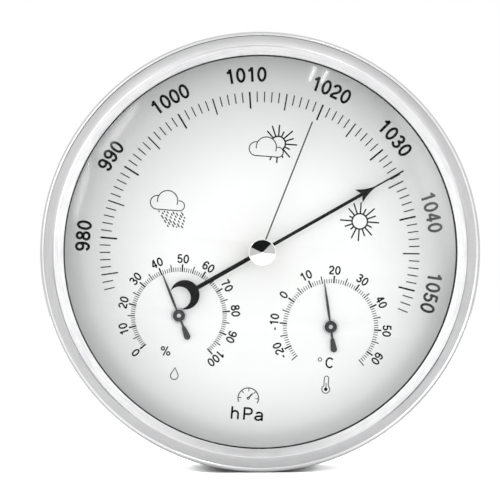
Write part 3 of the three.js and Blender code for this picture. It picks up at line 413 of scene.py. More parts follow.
@dataclass(frozen=True)
class Span:
    """Where a CAD node lies at rest, in millimetres."""

    back: float
    front: float
    radius: float
    x: float
    z: float

    @classmethod
    def of(cls, node: str) -> "Span":
        """Reads a node's box."""
        low, high = (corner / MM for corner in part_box(node))
        return cls(-high.y, -low.y, (high.z - low.z) / 2, (low.x + high.x) / 2, (low.z + high.z) / 2)

    @property
    def centre(self) -> Point:
        """Where its middle lies in the dial's plane."""
        return self.x, self.z


def fitted(item: Item, body: Body, slot: Slot, *nodes: str) -> None:
    """Hangs a piece on its body and hides the CAD nodes that it stands for.

    Args:
        item: The piece.
        body: The CAD body that it rides on.
        slot: The record's material slot that it is finished from; not used.
        nodes: CAD nodes that it stands for.
    """
    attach(item, body.value)
    if nodes:
        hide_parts(*nodes)
    LOG.info("piece %s rides on %s", item.name, body.value)


# Finishes


class NodePen:
    """Adds and joins the nodes of one material or world."""

    TURNED_REPEAT = 9.0
    TURNED_SLANT = 0.7
    ROLLED_STRETCH = 0.08

    def __init__(self, tree: bpy.types.NodeTree) -> None:
        """Empties the tree and starts in it."""
        self.tree = tree
        tree.nodes.clear()

    def node(self, kind: str, **settings: object) -> bpy.types.Node:
        """Adds a node with these settings."""
        added = self.tree.nodes.new(kind)
        for name, value in settings.items():
            setattr(added, name, value)
        return added

    def feed(self, socket: Socket, value: object) -> None:
        """Joins a socket to another, or sets its value."""
        if isinstance(value, Socket):
            self.tree.links.new(value, socket)
        else:
            socket.default_value = value

    def wired(self, node: bpy.types.Node, *values: object) -> Socket:
        """Feeds a node's inputs in order, but for each None, and returns its first output."""
        for socket, value in zip(node.inputs, values):
            if value is not None:
                self.feed(socket, value)
        return node.outputs[0]

    def made(self, kind: str, inputs: dict[str, object], output: int = 0) -> Socket:
        """Adds a node, feeds its named inputs and returns an output."""
        node = self.node(kind)
        for name, value in inputs.items():
            self.feed(node.inputs[name], value)
        return node.outputs[output]

    def math(self, operation: str, *values: object) -> Socket:
        """Adds a math node and returns its result."""
        return self.wired(self.node("ShaderNodeMath", operation=operation), *values)

    def plus(self, first: object, second: object) -> Socket:
        """Adds two numbers."""
        return self.math("ADD", first, second)

    def minus(self, first: object, second: object) -> Socket:
        """Takes a number from another."""
        return self.math("SUBTRACT", first, second)

    def times(self, first: object, second: object) -> Socket:
        """Multiplies two numbers."""
        return self.math("MULTIPLY", first, second)

    def reach(self, across: object, along: object) -> Socket:
        """Length of a line, from its two sides."""
        return self.math("SQRT", self.plus(self.times(across, across), self.times(along, along)))

    def toward(self, degrees: float, x: object, z: object) -> Socket:
        """How far a place or a direction lies toward a dial angle."""
        to_x, to_z = clock(1.0, degrees)
        return self.plus(self.times(x, to_x), self.times(z, to_z))

    def remap(self, value: object, band: Point, results: Point = (0.0, 1.0), unit: float = 1.0) -> Socket:
        """Maps a band of values smoothly to another.

        Args:
            value: The value.
            band: Where the change starts and where it ends.
            results: Result up to the start and from the end.
            unit: What one step of the band measures.

        Returns:
            The result's socket.
        """
        node = self.node("ShaderNodeMapRange", interpolation_type="SMOOTHSTEP")
        return self.wired(node, value, band[0] * unit, band[1] * unit, *results)

    def blend(self, share: object, first: object, second: object) -> Socket:
        """Mixes two numbers."""
        return self.wired(self.node("ShaderNodeMix", data_type="FLOAT"), share, None, first, second)

    def cross(self, value: object, band: Point, first: object, second: object) -> Socket:
        """Goes from one number to another as a value crosses a band."""
        return self.blend(self.remap(value, band), first, second)

    def tint(self, share: object, first: Colour, second: Colour) -> Socket:
        """Mixes two colours."""
        node = self.node("ShaderNodeMix", data_type="RGBA")
        self.feed(node.inputs["Factor"], share)
        colours = [socket for socket in node.inputs if socket.type == "RGBA"]
        for socket, colour in zip(colours, (first, second)):
            self.feed(socket, (*colour, 1.0))
        return next(socket for socket in node.outputs if socket.type == "RGBA")

    def split(self, kind: str = "Object") -> list[Socket]:
        """The three parts of a texture coordinate."""
        parts = self.node("ShaderNodeSeparateXYZ")
        self.feed(parts.inputs[0], self.node("ShaderNodeTexCoord").outputs[kind])
        return list(parts.outputs)

    def noise(self, grain: Grain, fineness: float, detail: float) -> Socket:
        """Adds a noise stretched along a grain.

        Args:
            grain: How its marks run.
            fineness: Width of a mark in millimetres.
            detail: How much finer noise it holds.

        Returns:
            The noise's value.
        """
        x, y, z = self.split()
        per_mark = 1 / (fineness * MM)
        if grain is Grain.TURNED:
            radius = self.reach(x, z)
            safe = self.math("MAXIMUM", radius, 1e-5)
            parts = [self.times(self.math("DIVIDE", part, safe), self.TURNED_REPEAT) for part in (x, z)]
            parts.append(self.times(self.plus(radius, self.times(y, self.TURNED_SLANT)), per_mark))
        else:
            along = self.ROLLED_STRETCH if grain is Grain.ROLLED else 1.0
            parts = [self.times(part, per_mark * share) for part, share in ((x, along), (y, 1.0), (z, 1.0))]
        vector = self.wired(self.node("ShaderNodeCombineXYZ"), *parts)
        return self.made("ShaderNodeTexNoise", {"Vector": vector, "Scale": 1.0, "Detail": detail})

    def relief(self, height: Socket, depth: float) -> Socket:
        """Adds a bump of a depth in millimetres and returns its normal."""
        return self.made("ShaderNodeBump", {"Strength": 1.0, "Distance": depth * MM, "Height": height})

    def layered(self, share: object, under: Socket, over: Socket) -> Socket:
        """Lays a shader over another."""
        return self.wired(self.node("ShaderNodeMixShader"), share, under, over)

    def surface(self, shader: Socket) -> None:
        """Ends a material in its output."""
        self.feed(self.node("ShaderNodeOutputMaterial").inputs["Surface"], shader)


def new_material(name: str) -> tuple[Material, NodePen]:
    """Makes an empty node material and the pen that draws in it."""
    material = bpy.data.materials.new(name)
    material.use_nodes = True
    return material, NodePen(material.node_tree)


@dataclass(frozen=True)
class Finish:
    """A finish that varies a little between two colours, with fine marks.

    Attributes:
        name: The material's name.
        colour: Its main colour.
        shade: The colour that it goes to.
        roughness: Its least and its greatest roughness.
        grain: How its marks run.
        fineness: Width of a mark in millimetres.
        depth: Depth of a mark in millimetres.
    """

    name: str
    colour: Colour
    shade: Colour
    roughness: Point
    grain: Grain = Grain.EVEN
    fineness: float = 0.4
    depth: float = 0.01

    def mottled(self, basis: dict[str, object], spread: Place, clouds: Point) -> Material:
        """Makes the material.

        Args:
            basis: Inputs of the shader that stay the same all over.
            spread: Share of the clouds, and the band of noise over which the colour changes.
            clouds: Size of a cloud in millimetres, and its detail.

        Returns:
            The material.
        """
        material, pen = new_material(self.name)
        marks, broad = pen.noise(self.grain, self.fineness, 4.0), pen.noise(Grain.EVEN, *clouds)
        share = pen.remap(pen.blend(spread[0], marks, broad), spread[1:])
        looks = {
            "Base Color": pen.tint(share, self.colour, self.shade),
            "Roughness": pen.blend(share, *self.roughness),
            "Normal": pen.relief(marks, self.depth),
        }
        pen.surface(pen.made("ShaderNodeBsdfPrincipled", basis | looks))
        return material


@dataclass(frozen=True)
class Metal(Finish):
    """A bare or plated metal with fine marks from how it was worked."""

    grain: Grain = Grain.TURNED
    fineness: float = 0.25
    depth: float = 0.002

    def material(self) -> Material:
        """Makes the material."""
        return self.mottled({"Metallic": 1.0}, (0.4, 0.36, 0.64), (6.0, 3.0))


@dataclass(frozen=True)
class Coating(Finish):
    """A paint, ink, plastic or rubber with a fine even texture."""

    gloss: float = 0.5

    def material(self) -> Material:
        """Makes the material."""
        return self.mottled({"Specular IOR Level": self.gloss}, (0.5, 0.35, 0.65), (9.0, 2.0))


@dataclass(frozen=True)
class DialPaint:
    """Matt white enamel with painted shade: it greys towards the edge of the plate, most at the top, with a
    painted shadow of the ring at its lower rim and painted light near its upper right rim.
    """

    white: Colour = (0.955, 0.955, 0.955)
    # Colour of the painted shade at the rim
    edge: Colour = (0.655, 0.655, 0.655)
    whitest: Point = (3.6, -8.8)
    greying: Point = (26.0, 66.0)
    rim_band: Point = (52.0, 57.5)
    rim_share: float = 0.27
    rim_below: Point = (-12.0, 6.0)
    bright_side: float = 63.0
    bright_band: Point = (51.0, 57.5)
    bright_share: float = 0.2
    mottle: float = 0.10

    def material(self) -> Material:
        """Makes the material."""
        material, pen = new_material("dial_enamel_with_painted_shade")
        x, _, z = pen.split()
        # Painted shade: grey grows outward from a centre right of and below the axis, so the top and upper
        # left are darkest
        from_whitest = [pen.minus(part, place * MM) for part, place in zip((x, z), self.whitest)]
        outward = pen.remap(pen.reach(*from_whitest), self.greying, unit=MM)
        # Painted shadow of the ring along the lower rim
        rim = pen.remap(pen.reach(x, z), self.rim_band, (0.0, self.rim_share), MM)
        # Painted light near the rim at the upper right, which takes most of the painted shade away there
        bright = pen.remap(pen.toward(self.bright_side, x, z), self.bright_band, (1.0, self.bright_share), MM)
        lower = pen.remap(z, self.rim_below, (1.0, 0.0), MM)
        shade = pen.plus(pen.times(outward, bright), pen.times(rim, lower))
        texture, clouds = pen.noise(Grain.EVEN, 0.5, 4.0), pen.noise(Grain.EVEN, 14.0, 2.0)
        share = pen.plus(shade, pen.times(pen.minus(clouds, 0.5), self.mottle))
        looks = {
            "Specular IOR Level": 0.2,
            "Base Color": pen.tint(share, self.white, self.edge),
            "Roughness": pen.remap(texture, (0.3, 0.7), (0.42, 0.55)),
            "Normal": pen.relief(texture, 0.003),
        }
        pen.surface(pen.made("ShaderNodeBsdfPrincipled", looks))
        return material


@dataclass(frozen=True)
class ClearGlass:
    """Clear glass with a faint reflection on its outer face, a painted reflection as a white sheen near its
    right edge, and a green cast where it is seen edge on.
    """

    reflection_index: float = 1.2
    roughness: Point = (0.050, 0.056)
    bloom: Colour = (0.9, 0.9, 0.9)
    bloom_bands: tuple[tuple[Point, float], ...] = (((47.0, 52.0), 0.10), ((52.0, 58.0), 0.08))
    clear: Colour = (0.995, 0.997, 0.996)
    green: Colour = (0.80, 0.88, 0.85)

    def outer(self) -> Material:
        """Makes the outer face's material."""
        material, pen = new_material("glass_outer_face")
        fresnel = pen.made("ShaderNodeFresnel", {"IOR": self.reflection_index})
        ripple = pen.remap(pen.noise(Grain.EVEN, 30.0, 1.0), (0.3, 0.7), self.roughness)
        gloss = pen.made("ShaderNodeBsdfGlossy", {"Roughness": ripple})
        outside = pen.minus(1.0, pen.node("ShaderNodeNewGeometry").outputs["Backfacing"])
        glossy = pen.layered(pen.times(fresnel, outside), self.see_through(pen), gloss)
        # Painted reflection: a diffuse white sheen laid over the glass near its right edge
        bloom = pen.made("ShaderNodeBsdfDiffuse", {"Color": (*self.bloom, 1.0)})
        pen.surface(pen.layered(self.veil(pen), glossy, bloom))
        return material

    def veil(self, pen: NodePen) -> Socket:
        """How far the painted reflection, a diffuse white sheen, covers the glass: near its right edge, from
        two o'clock to four.
        """
        x, _, z = pen.split()
        angle = pen.times(pen.math("ARCTAN2", z, x), 180 / math.pi)
        around = pen.times(pen.remap(angle, (26.0, 36.0), (1.0, 0.0)), pen.remap(angle, (-31.0, 10.0)))
        radius = pen.reach(x, z)
        bands = [pen.remap(radius, band, (0.0, share), MM) for band, share in self.bloom_bands]
        return pen.times(around, pen.plus(*bands))

    def inner(self) -> Material:
        """Makes the inner face's and the rim's material."""
        material, pen = new_material("glass_inner_face")
        pen.surface(self.see_through(pen))
        return material

    def see_through(self, pen: NodePen) -> Socket:
        """Adds the clear part of the glass and returns its shader."""
        facing = pen.node("ShaderNodeLayerWeight")
        facing.inputs["Blend"].default_value = 0.3
        share = pen.math("POWER", facing.outputs["Facing"], 3.0)
        return pen.made("ShaderNodeBsdfTransparent", {"Color": pen.tint(share, self.clear, self.green)})


INK = Coating(
    "dial_ink", (0.003, 0.003, 0.003), (0.006, 0.006, 0.006), (0.55, 0.7),
    fineness=0.3, depth=0.002, gloss=0.1,
)
FINISHES: dict[Slot, Metal | Coating | DialPaint] = {
    Slot.RING: Metal(
        "brushed_chrome_ring", (0.67, 0.67, 0.675), (0.615, 0.615, 0.625), (0.15, 0.26),
        fineness=0.35, depth=0.0015,
    ),
    Slot.KNOB: Metal(
        "polished_chrome_knob", (0.95, 0.95, 0.955), (0.90, 0.90, 0.91), (0.03, 0.07),
        fineness=0.2, depth=0.0002,
    ),
    Slot.ZINC: Metal(
        "zinc_plated_steel", (0.74, 0.74, 0.76), (0.60, 0.61, 0.64), (0.28, 0.42), Grain.EVEN, 0.8, 0.004
    ),
    Slot.DARK_STEEL: Metal(
        "blackened_steel", (0.13, 0.13, 0.14), (0.07, 0.07, 0.075), (0.32, 0.5), Grain.EVEN, 0.5, 0.006
    ),
    Slot.BRASS: Metal("turned_brass", (0.78, 0.60, 0.30), (0.62, 0.45, 0.20), (0.2, 0.34), fineness=0.2),
    Slot.COPPER: Metal(
        "copper_alloy_sheet", (0.74, 0.48, 0.30), (0.58, 0.36, 0.22), (0.24, 0.4), fineness=0.4
    ),
    Slot.COIL: Metal(
        "rolled_coil_strip", (0.60, 0.57, 0.52), (0.44, 0.41, 0.37), (0.25, 0.4), Grain.ROLLED, 0.3, 0.003
    ),
    Slot.DIAL: DialPaint(),
    Slot.BLACK_PAINT: Coating(
        "black_hand_paint", (0.004, 0.004, 0.004), (0.008, 0.008, 0.008), (0.4, 0.52),
        fineness=0.25, depth=0.002, gloss=0.1,
    ),
    Slot.GREY_PAINT: Coating(
        "dark_grey_hand_paint", (0.050, 0.050, 0.051), (0.068, 0.068, 0.069), (0.42, 0.55),
        fineness=0.25, depth=0.002, gloss=0.2,
    ),
    Slot.BLACK_PLASTIC: Coating(
        "grained_black_plastic", (0.020, 0.020, 0.022), (0.032, 0.032, 0.034), (0.48, 0.64),
        fineness=0.55, depth=0.05,
    ),
    Slot.WHITE_PLASTIC: Coating(
        "white_plastic", (0.88, 0.88, 0.87), (0.82, 0.82, 0.81), (0.45, 0.6), fineness=0.8, gloss=0.4
    ),
    Slot.RUBBER: Coating(
        "seal_rubber", (0.02, 0.02, 0.02), (0.035, 0.035, 0.035), (0.7, 0.85),
        fineness=0.3, depth=0.02, gloss=0.3,
    ),
}


@dataclass
class Bench:
    """Makes pieces, each in the finish of its slot and on its body."""

    made: dict[Slot, Material] = field(default_factory=dict)

    def finish(self, slot: Slot) -> Material:
        """The material of a slot, made once."""
        if slot not in self.made:
            self.made[slot] = FINISHES[slot].material()
        return self.made[slot]

    def fit(
        self, pen: SolidPen, name: str, body: Body, slot: Slot, *nodes: str, sharp_from: float = SHARP_FROM
    ) -> None:
        """Makes what a pen drew and fits it in place of these CAD nodes."""
        fitted(pen.finish(name, self.finish(slot), sharp_from=sharp_from), body, slot, *nodes)

    def turned(
        self,
        name: str,
        body: Body,
        slot: Slot,
        node: str,
        corners: Sequence[Place],
        steps: int,
        centre: Point = CENTRE,
    ) -> None:
        """Makes a turned piece.

        Args:
            name: Its name.
            body: The CAD body that it rides on.
            slot: The record's slot of its finish.
            node: The CAD node that it stands for.
            corners: (radius, depth, rounding) of each, a loop unless the first lies on the axis.
            steps: Facets round the axis.
            centre: Where the axis crosses the dial's plane.
        """
        pen = SolidPen()
        pen.turn(softened(corners, closed=corners[0][0] > 0), steps, centre)
        self.fit(pen, name, body, slot, node)

    def flat(self, name: str, body: Body, slot: Slot, node: str, outline: Outline, edge: float) -> None:
        """Makes a flat piece as deep as the CAD node that it stands for, with edges of this rounding."""
        span = Span.of(node)
        pen = SolidPen()
        pen.extrude(outline, rounded_sections(span.back, span.front, edge))
        self.fit(pen, name, body, slot, node)


# Lettering and symbols

Stroke = tuple[list[Point], bool]


def line_of(*points: Point) -> Stroke:
    """An open stroke through these points."""
    return list(points), False


def loop_of(centre: Point, radii: Point, steps: int) -> Stroke:
    """A closed oval stroke."""
    return arc(centre, radii, 0, 360, steps)[:-1], True


def draw_characters() -> dict[str, list[Stroke]]:
    """Middle lines of the digits, the minus sign and the signs of units, in cap heights about x = 0."""
    six_back = arc((0.02, 0.53), (0.255, 0.40), 32, 180, 12)
    six = [loop_of((0.005, 0.31), (0.228, 0.238), 20), line_of(*six_back, (-0.225, 0.33))]
    two_foot = ((0.07, 0.43), (-0.10, 0.31), (-0.20, 0.19), (-0.235, 0.072))
    bowl_foot = ((0.05, 0.08), (0.14, 0.16), (0.18, 0.26))
    return {
        "0": [loop_of((0, 0.5), (0.238, 0.43), 24)],
        "1": [line_of((0.06, 0), (0.06, 1)), line_of((0.04, 0.985), (0, 0.87), (-0.08, 0.79), (-0.2, 0.765))],
        "2": [
            line_of(*arc((-0.005, 0.69), (0.225, 0.24), 175, -35, 14), *two_foot),
            line_of((-0.27, 0.072), (0.245, 0.072)),
        ],
        "3": [
            line_of(*arc((-0.01, 0.725), (0.20, 0.203), 165, -90, 14)),
            line_of(*arc((-0.01, 0.285), (0.235, 0.225), 90, -165, 16)),
            line_of((-0.09, 0.515), (0.01, 0.515)),
        ],
        "4": [
            line_of((0.11, 0), (0.11, 1)),
            line_of((0.09, 0.95), (-0.245, 0.30)),
            line_of((-0.27, 0.285), (0.28, 0.285)),
        ],
        "5": [
            line_of((-0.18, 0.928), (0.21, 0.928)),
            line_of((-0.155, 0.95), (-0.205, 0.46)),
            line_of(*arc((-0.01, 0.315), (0.235, 0.243), 150, -165, 18)),
        ],
        "6": six,
        "7": [
            line_of((-0.24, 0.928), (0.255, 0.928)),
            line_of((0.235, 0.90), (0.10, 0.66), (-0.02, 0.38), (-0.075, 0)),
        ],
        "8": [loop_of((0, 0.735), (0.195, 0.193), 20), loop_of((0, 0.285), (0.235, 0.213), 22)],
        "9": [([(-x, 1 - y) for x, y in stroke], closed) for stroke, closed in six],
        "-": [line_of((-0.14, 0.36), (0.14, 0.36))],
        "%": [
            loop_of((-0.27, 0.75), (0.14, 0.18), 14),
            loop_of((0.27, 0.25), (0.14, 0.18), 14),
            line_of((0.2, 1), (-0.2, 0)),
        ],
        "C": [line_of(*arc((0, 0.5), (0.30, 0.43), 40, 320, 22))],
        "h": [line_of((-0.19, 0), (-0.19, 1)), line_of(*arc((0, 0.43), (0.19, 0.22), 170, 0, 12), (0.19, 0))],
        "P": [
            line_of((-0.21, 0), (-0.21, 1)),
            line_of((-0.24, 0.928), *arc((0.05, 0.695), (0.2, 0.233), 90, -90, 12), (-0.21, 0.462)),
        ],
        "a": [
            line_of(*arc((0, 0.47), (0.18, 0.18), 160, 0, 12), (0.185, 0)),
            line_of((0.18, 0.385), (0.04, 0.36), *arc((-0.03, 0.2), (0.19, 0.145), 110, 270, 12), *bowl_foot),
        ],
    }


CHARACTERS = draw_characters()


class DialPrinter:
    """Prints lines, figures and weather symbols on the dial as thin raised ink."""

    STROKE = 0.175
    INK_HEIGHT = 0.03

    def __init__(self, face: float) -> None:
        """Starts a print on a face at a depth."""
        self.pen = SolidPen()
        self.depths = (face - self.INK_HEIGHT, face + self.INK_HEIGHT)

    def line(self, points: Sequence[Point], width: float, closed: bool = False) -> None:
        """Prints a line of a width along points."""
        self.pen.ribbon(points, width, *self.depths, closed)

    def tick(self, centre: Point, degrees: float, inner: float, outer: float, width: float) -> None:
        """Prints a straight mark between two radii."""
        self.line([clock(inner, degrees, centre), clock(outer, degrees, centre)], width)

    def letter(
        self,
        character: str,
        base: Point,
        height: float,
        degrees: float = 0.0,
        stretch: float = 1.0,
        weight: float = STROKE,
    ) -> None:
        """Prints one character.

        Args:
            character: What to print.
            base: Middle of its foot on the dial.
            height: Its cap height.
            degrees: How far it leans clockwise.
            stretch: How much wider it is than the plain figures.
            weight: Width of its lines, in units of the cap height.
        """
        for stroke, closed in CHARACTERS[character]:
            points = [turned_about((x * height * stretch, y * height), degrees, base) for x, y in stroke]
            self.line(points, weight * height, closed)

    def figures(
        self, text: str, centre: Point, degrees: float, foot: float, height: float, pitch: float
    ) -> None:
        """Prints figures along an arc, their tops outward.

        Args:
            text: The figures.
            centre: Centre of the arc.
            degrees: Dial angle of their middle.
            foot: Radius of their feet.
            height: Cap height.
            pitch: Distance from figure to figure, at half their height.
        """
        step = math.degrees(pitch / (foot + height / 2))
        for i, character in enumerate(text):
            angle = degrees + (i - (len(text) - 1) / 2) * step
            self.letter(character, clock(foot, angle, centre), height, angle)

    def finish(self, name: str, ink: Material) -> None:
        """Makes the print and fixes it to the case."""
        fitted(self.pen.finish(name, ink), Body.CASE, Slot.BLACK_PAINT)


@dataclass(frozen=True)
class Sun:
    """A line drawing of a sun with sixteen rays of uneven length."""

    centre: Point
    radius: float = 2.34
    reaches: tuple[float, ...] = (
        5.8, 4.2, 6.0, 5.1, 5.9, 4.1, 5.6, 4.7, 6.0, 5.7, 3.7, 4.8, 6.0, 3.5, 5.2, 5.8,
    )
    line: float = 0.43
    steps: int = 72
    ray_samples: int = 40
    shortest_ray: int = 8

    def draw(self, printer: DialPrinter, hidden: Callable[[Point], bool] = lambda point: False) -> None:
        """Prints the sun.

        Args:
            printer: The dial's printer.
            hidden: Says whether a place lies behind something else.
        """
        disc = circle(self.radius, self.centre, self.steps)
        shows = [not hidden(p) for p in disc]
        if all(shows):
            printer.line(disc, self.line, closed=True)
        else:
            start = next(i for i in range(self.steps) if shows[i] and not shows[i - 1])
            order = [(start + i) % self.steps for i in range(self.steps)]
            printer.line([disc[i] for i in order if shows[i]], self.line)
        for i, full_reach in enumerate(self.reaches):
            angle = 360 * i / len(self.reaches)
            length = full_reach - Sun.radius
            shares = [j / self.ray_samples for j in range(self.ray_samples + 1)]
            ray = [clock(self.radius + length * share, angle, self.centre) for share in shares]
            shown = [p for p in ray if not hidden(p)]
            if len(shown) > self.shortest_ray:
                printer.line([shown[0], shown[-1]], self.line)


@dataclass(frozen=True)
class Cloud:
    """A line drawing of a cloud of three round lobes on a flat base."""

    base: Point
    main: Place = (0.0, 2.8, 3.05)
    left: Place = (-3.05, 2.08, 2.08)
    right: Place = (3.7, 1.5, 1.5)
    line: float = 0.29

    def covers(self, point: Point) -> bool:
        """Whether a place lies on the cloud."""
        x, y = point[0] - self.base[0], point[1] - self.base[1]
        lobes = (self.main, self.left, self.right)
        in_lobe = any(math.hypot(x - cx, y - cy) < radius for cx, cy, radius in lobes)
        return y >= -0.1 and (in_lobe or (self.left[0] < x < self.right[0] and y < self.right[1]))

    def lobe(self, shape: Place, start: float, end: float) -> list[Point]:
        """Arc of one lobe, from a start to an end angle counterclockwise from the right."""
        centre = (self.base[0] + shape[0], self.base[1] + shape[1])
        return arc(centre, (shape[2], shape[2]), start, end, 30)

    def draw(self, printer: DialPrinter) -> None:
        """Prints the cloud."""
        printer.line(self.lobe(self.main, 192, -20), self.line)
        printer.line([*self.lobe(self.left, 82, 270), *self.lobe(self.right, -90, 104)], self.line)


@dataclass(frozen=True)
class Rain:
    """Slanting dashes of rain below a cloud."""

    start: Point
    lines: int = 10
    spacing: float = 0.86
    fall: float = 4.9
    slope: float = 54.6
    line: float = 0.36
    period: float = 1.75
    shortest_dash: float = 0.3

    def draw(self, printer: DialPrinter) -> None:
        """Prints the dashes, each line starting a little later in its rhythm than the last."""
        down, across = math.sin(math.radians(self.slope)), math.cos(math.radians(self.slope))
        end = self.start[0] + (self.lines - 0.4) * self.spacing
        for i in range(self.lines):
            x, y = self.start[0] + i * self.spacing, self.start[1] - 0.25
            room = min(self.fall / down, (end - x) / across)
            along = -((i * 0.618) % 1.0) * self.period
            while along < room:
                dash = self.period * (0.42 + 0.3 * ((i * 7 + int(along * 3)) % 3) / 2)
                first, last = max(along, 0.15), min(along + dash, room)
                if last - first > self.shortest_dash:
                    printer.line([(x + across * t, y - down * t) for t in (first, last)], self.line)
                along += self.period


@dataclass(frozen=True)
class Drop:
    """A line drawing of a drop of water, the sign of the moisture scale."""

    centre: Point
    radius: float = 1.15
    height: float = 3.6
    line: float = 0.27

    def draw(self, printer: DialPrinter) -> None:
        """Prints the drop."""
        x, z = self.centre
        low = z - self.height / 2 + self.radius
        round_part = arc((x, low), (self.radius, self.radius), 155, 385, 24)
        printer.line([(x, z + self.height / 2), *round_part], self.line, closed=True)


@dataclass(frozen=True)
class ThermometerSign:
    """A line drawing of a thermometer, the sign of the temperature scale."""

    centre: Point
    bulb: float = 1.2
    tube: float = 0.66
    height: float = 5.2
    line: float = 0.25

    def draw(self, printer: DialPrinter) -> None:
        """Prints the bulb, the tube and the column in it."""
        x, z = self.centre
        low, top = z - self.height / 2 + self.bulb, z + self.height / 2 - self.tube
        opening = math.degrees(math.asin(self.tube / self.bulb))
        bulb = arc((x, low), (self.bulb, self.bulb), 90 + opening, 450 - opening, 24)
        cap = arc((x, top), (self.tube, self.tube), 0, 180, 10)
        printer.line([*bulb, *cap], self.line, closed=True)
        printer.line([(x, low), (x, top - 1.4)], self.line)
        printer.line(circle(0.28, (x, low), 16), self.line * 2, closed=True)


@dataclass(frozen=True)
class GaugeSign:
    """A line drawing of a round gauge, the sign of the pressure scale."""

    centre: Point
    radius: float = 3.1
    line: float = 0.3
    marks: int = 5
    pointer: float = 38

    def draw(self, printer: DialPrinter) -> None:
        """Prints the open circle, its marks and its pointer."""
        foot = (self.centre[0], self.centre[1] - self.radius * 0.45)
        printer.line(arc(foot, (self.radius, self.radius), 205, -25, 40), self.line)
        for i in range(self.marks):
            angle = -90 + 180 * i / (self.marks - 1)
            printer.tick(foot, angle, self.radius * 0.68, self.radius, self.line * 0.8)
        printer.tick(foot, self.pointer, 0.1, self.radius * 0.62, self.line * 1.4)
        printer.line(circle(0.32, foot, 16), self.line, closed=True)


@dataclass(frozen=True)
class Scale:
    """Round scale with long marks at the fives and figures at the tens."""

    first: int
    last: int
    top: int
    degrees_per_unit: float
    long_mark: Point = (13.2, 15.47)
    short_mark: Point = (13.2, 14.5)
    line_widths: Place = (0.46, 0.32, 0.22)
    figure_place: Place = (15.86, 2.63, 1.87)
    nudges: tuple[float, ...] = ()

    def angle(self, value: float) -> float:
        """Dial angle of a value."""
        return (value - self.top) * self.degrees_per_unit

    def draw(self, marks: DialPrinter, figures: DialPrinter, centre: Point = CENTRE) -> None:
        """Prints the marks and figures, each with its printer."""
        tens, fives, ones = self.line_widths
        nudges = iter(self.nudges)
        for value in range(self.first, self.last + 1):
            reach = self.long_mark if value % 5 == 0 else self.short_mark
            width = tens if value % 10 == 0 else fives if value % 5 == 0 else ones
            marks.tick(centre, self.angle(value), *reach, width)
            if value % 10 == 0:
                angle = self.angle(value) + next(nudges, 0.0)
                figures.figures(str(value), centre, angle, *self.figure_place)


MOISTURE = Scale(0, 100, 50, 2.7)
WARMTH = Scale(-25, 65, 20, 3.0)
PRESSURE = Scale(
    first=973,
    last=1053,
    top=1013,
    degrees_per_unit=2.7,
    long_mark=(43.29, 48.36),
    short_mark=(45.19, 48.36),
    line_widths=(0.51, 0.39, 0.32),
    figure_place=(51.36, 4.41, 3.2),
    nudges=(0.0, 0.5, 0.2, -0.8, 0.5, -0.4, -0.2, -0.8),
)
PRESSURE_READING = 1033.8
SET_READING = 1019.4
MOISTURE_READING = 40.4
WARMTH_READING = 15.9


# Sub-assemblies


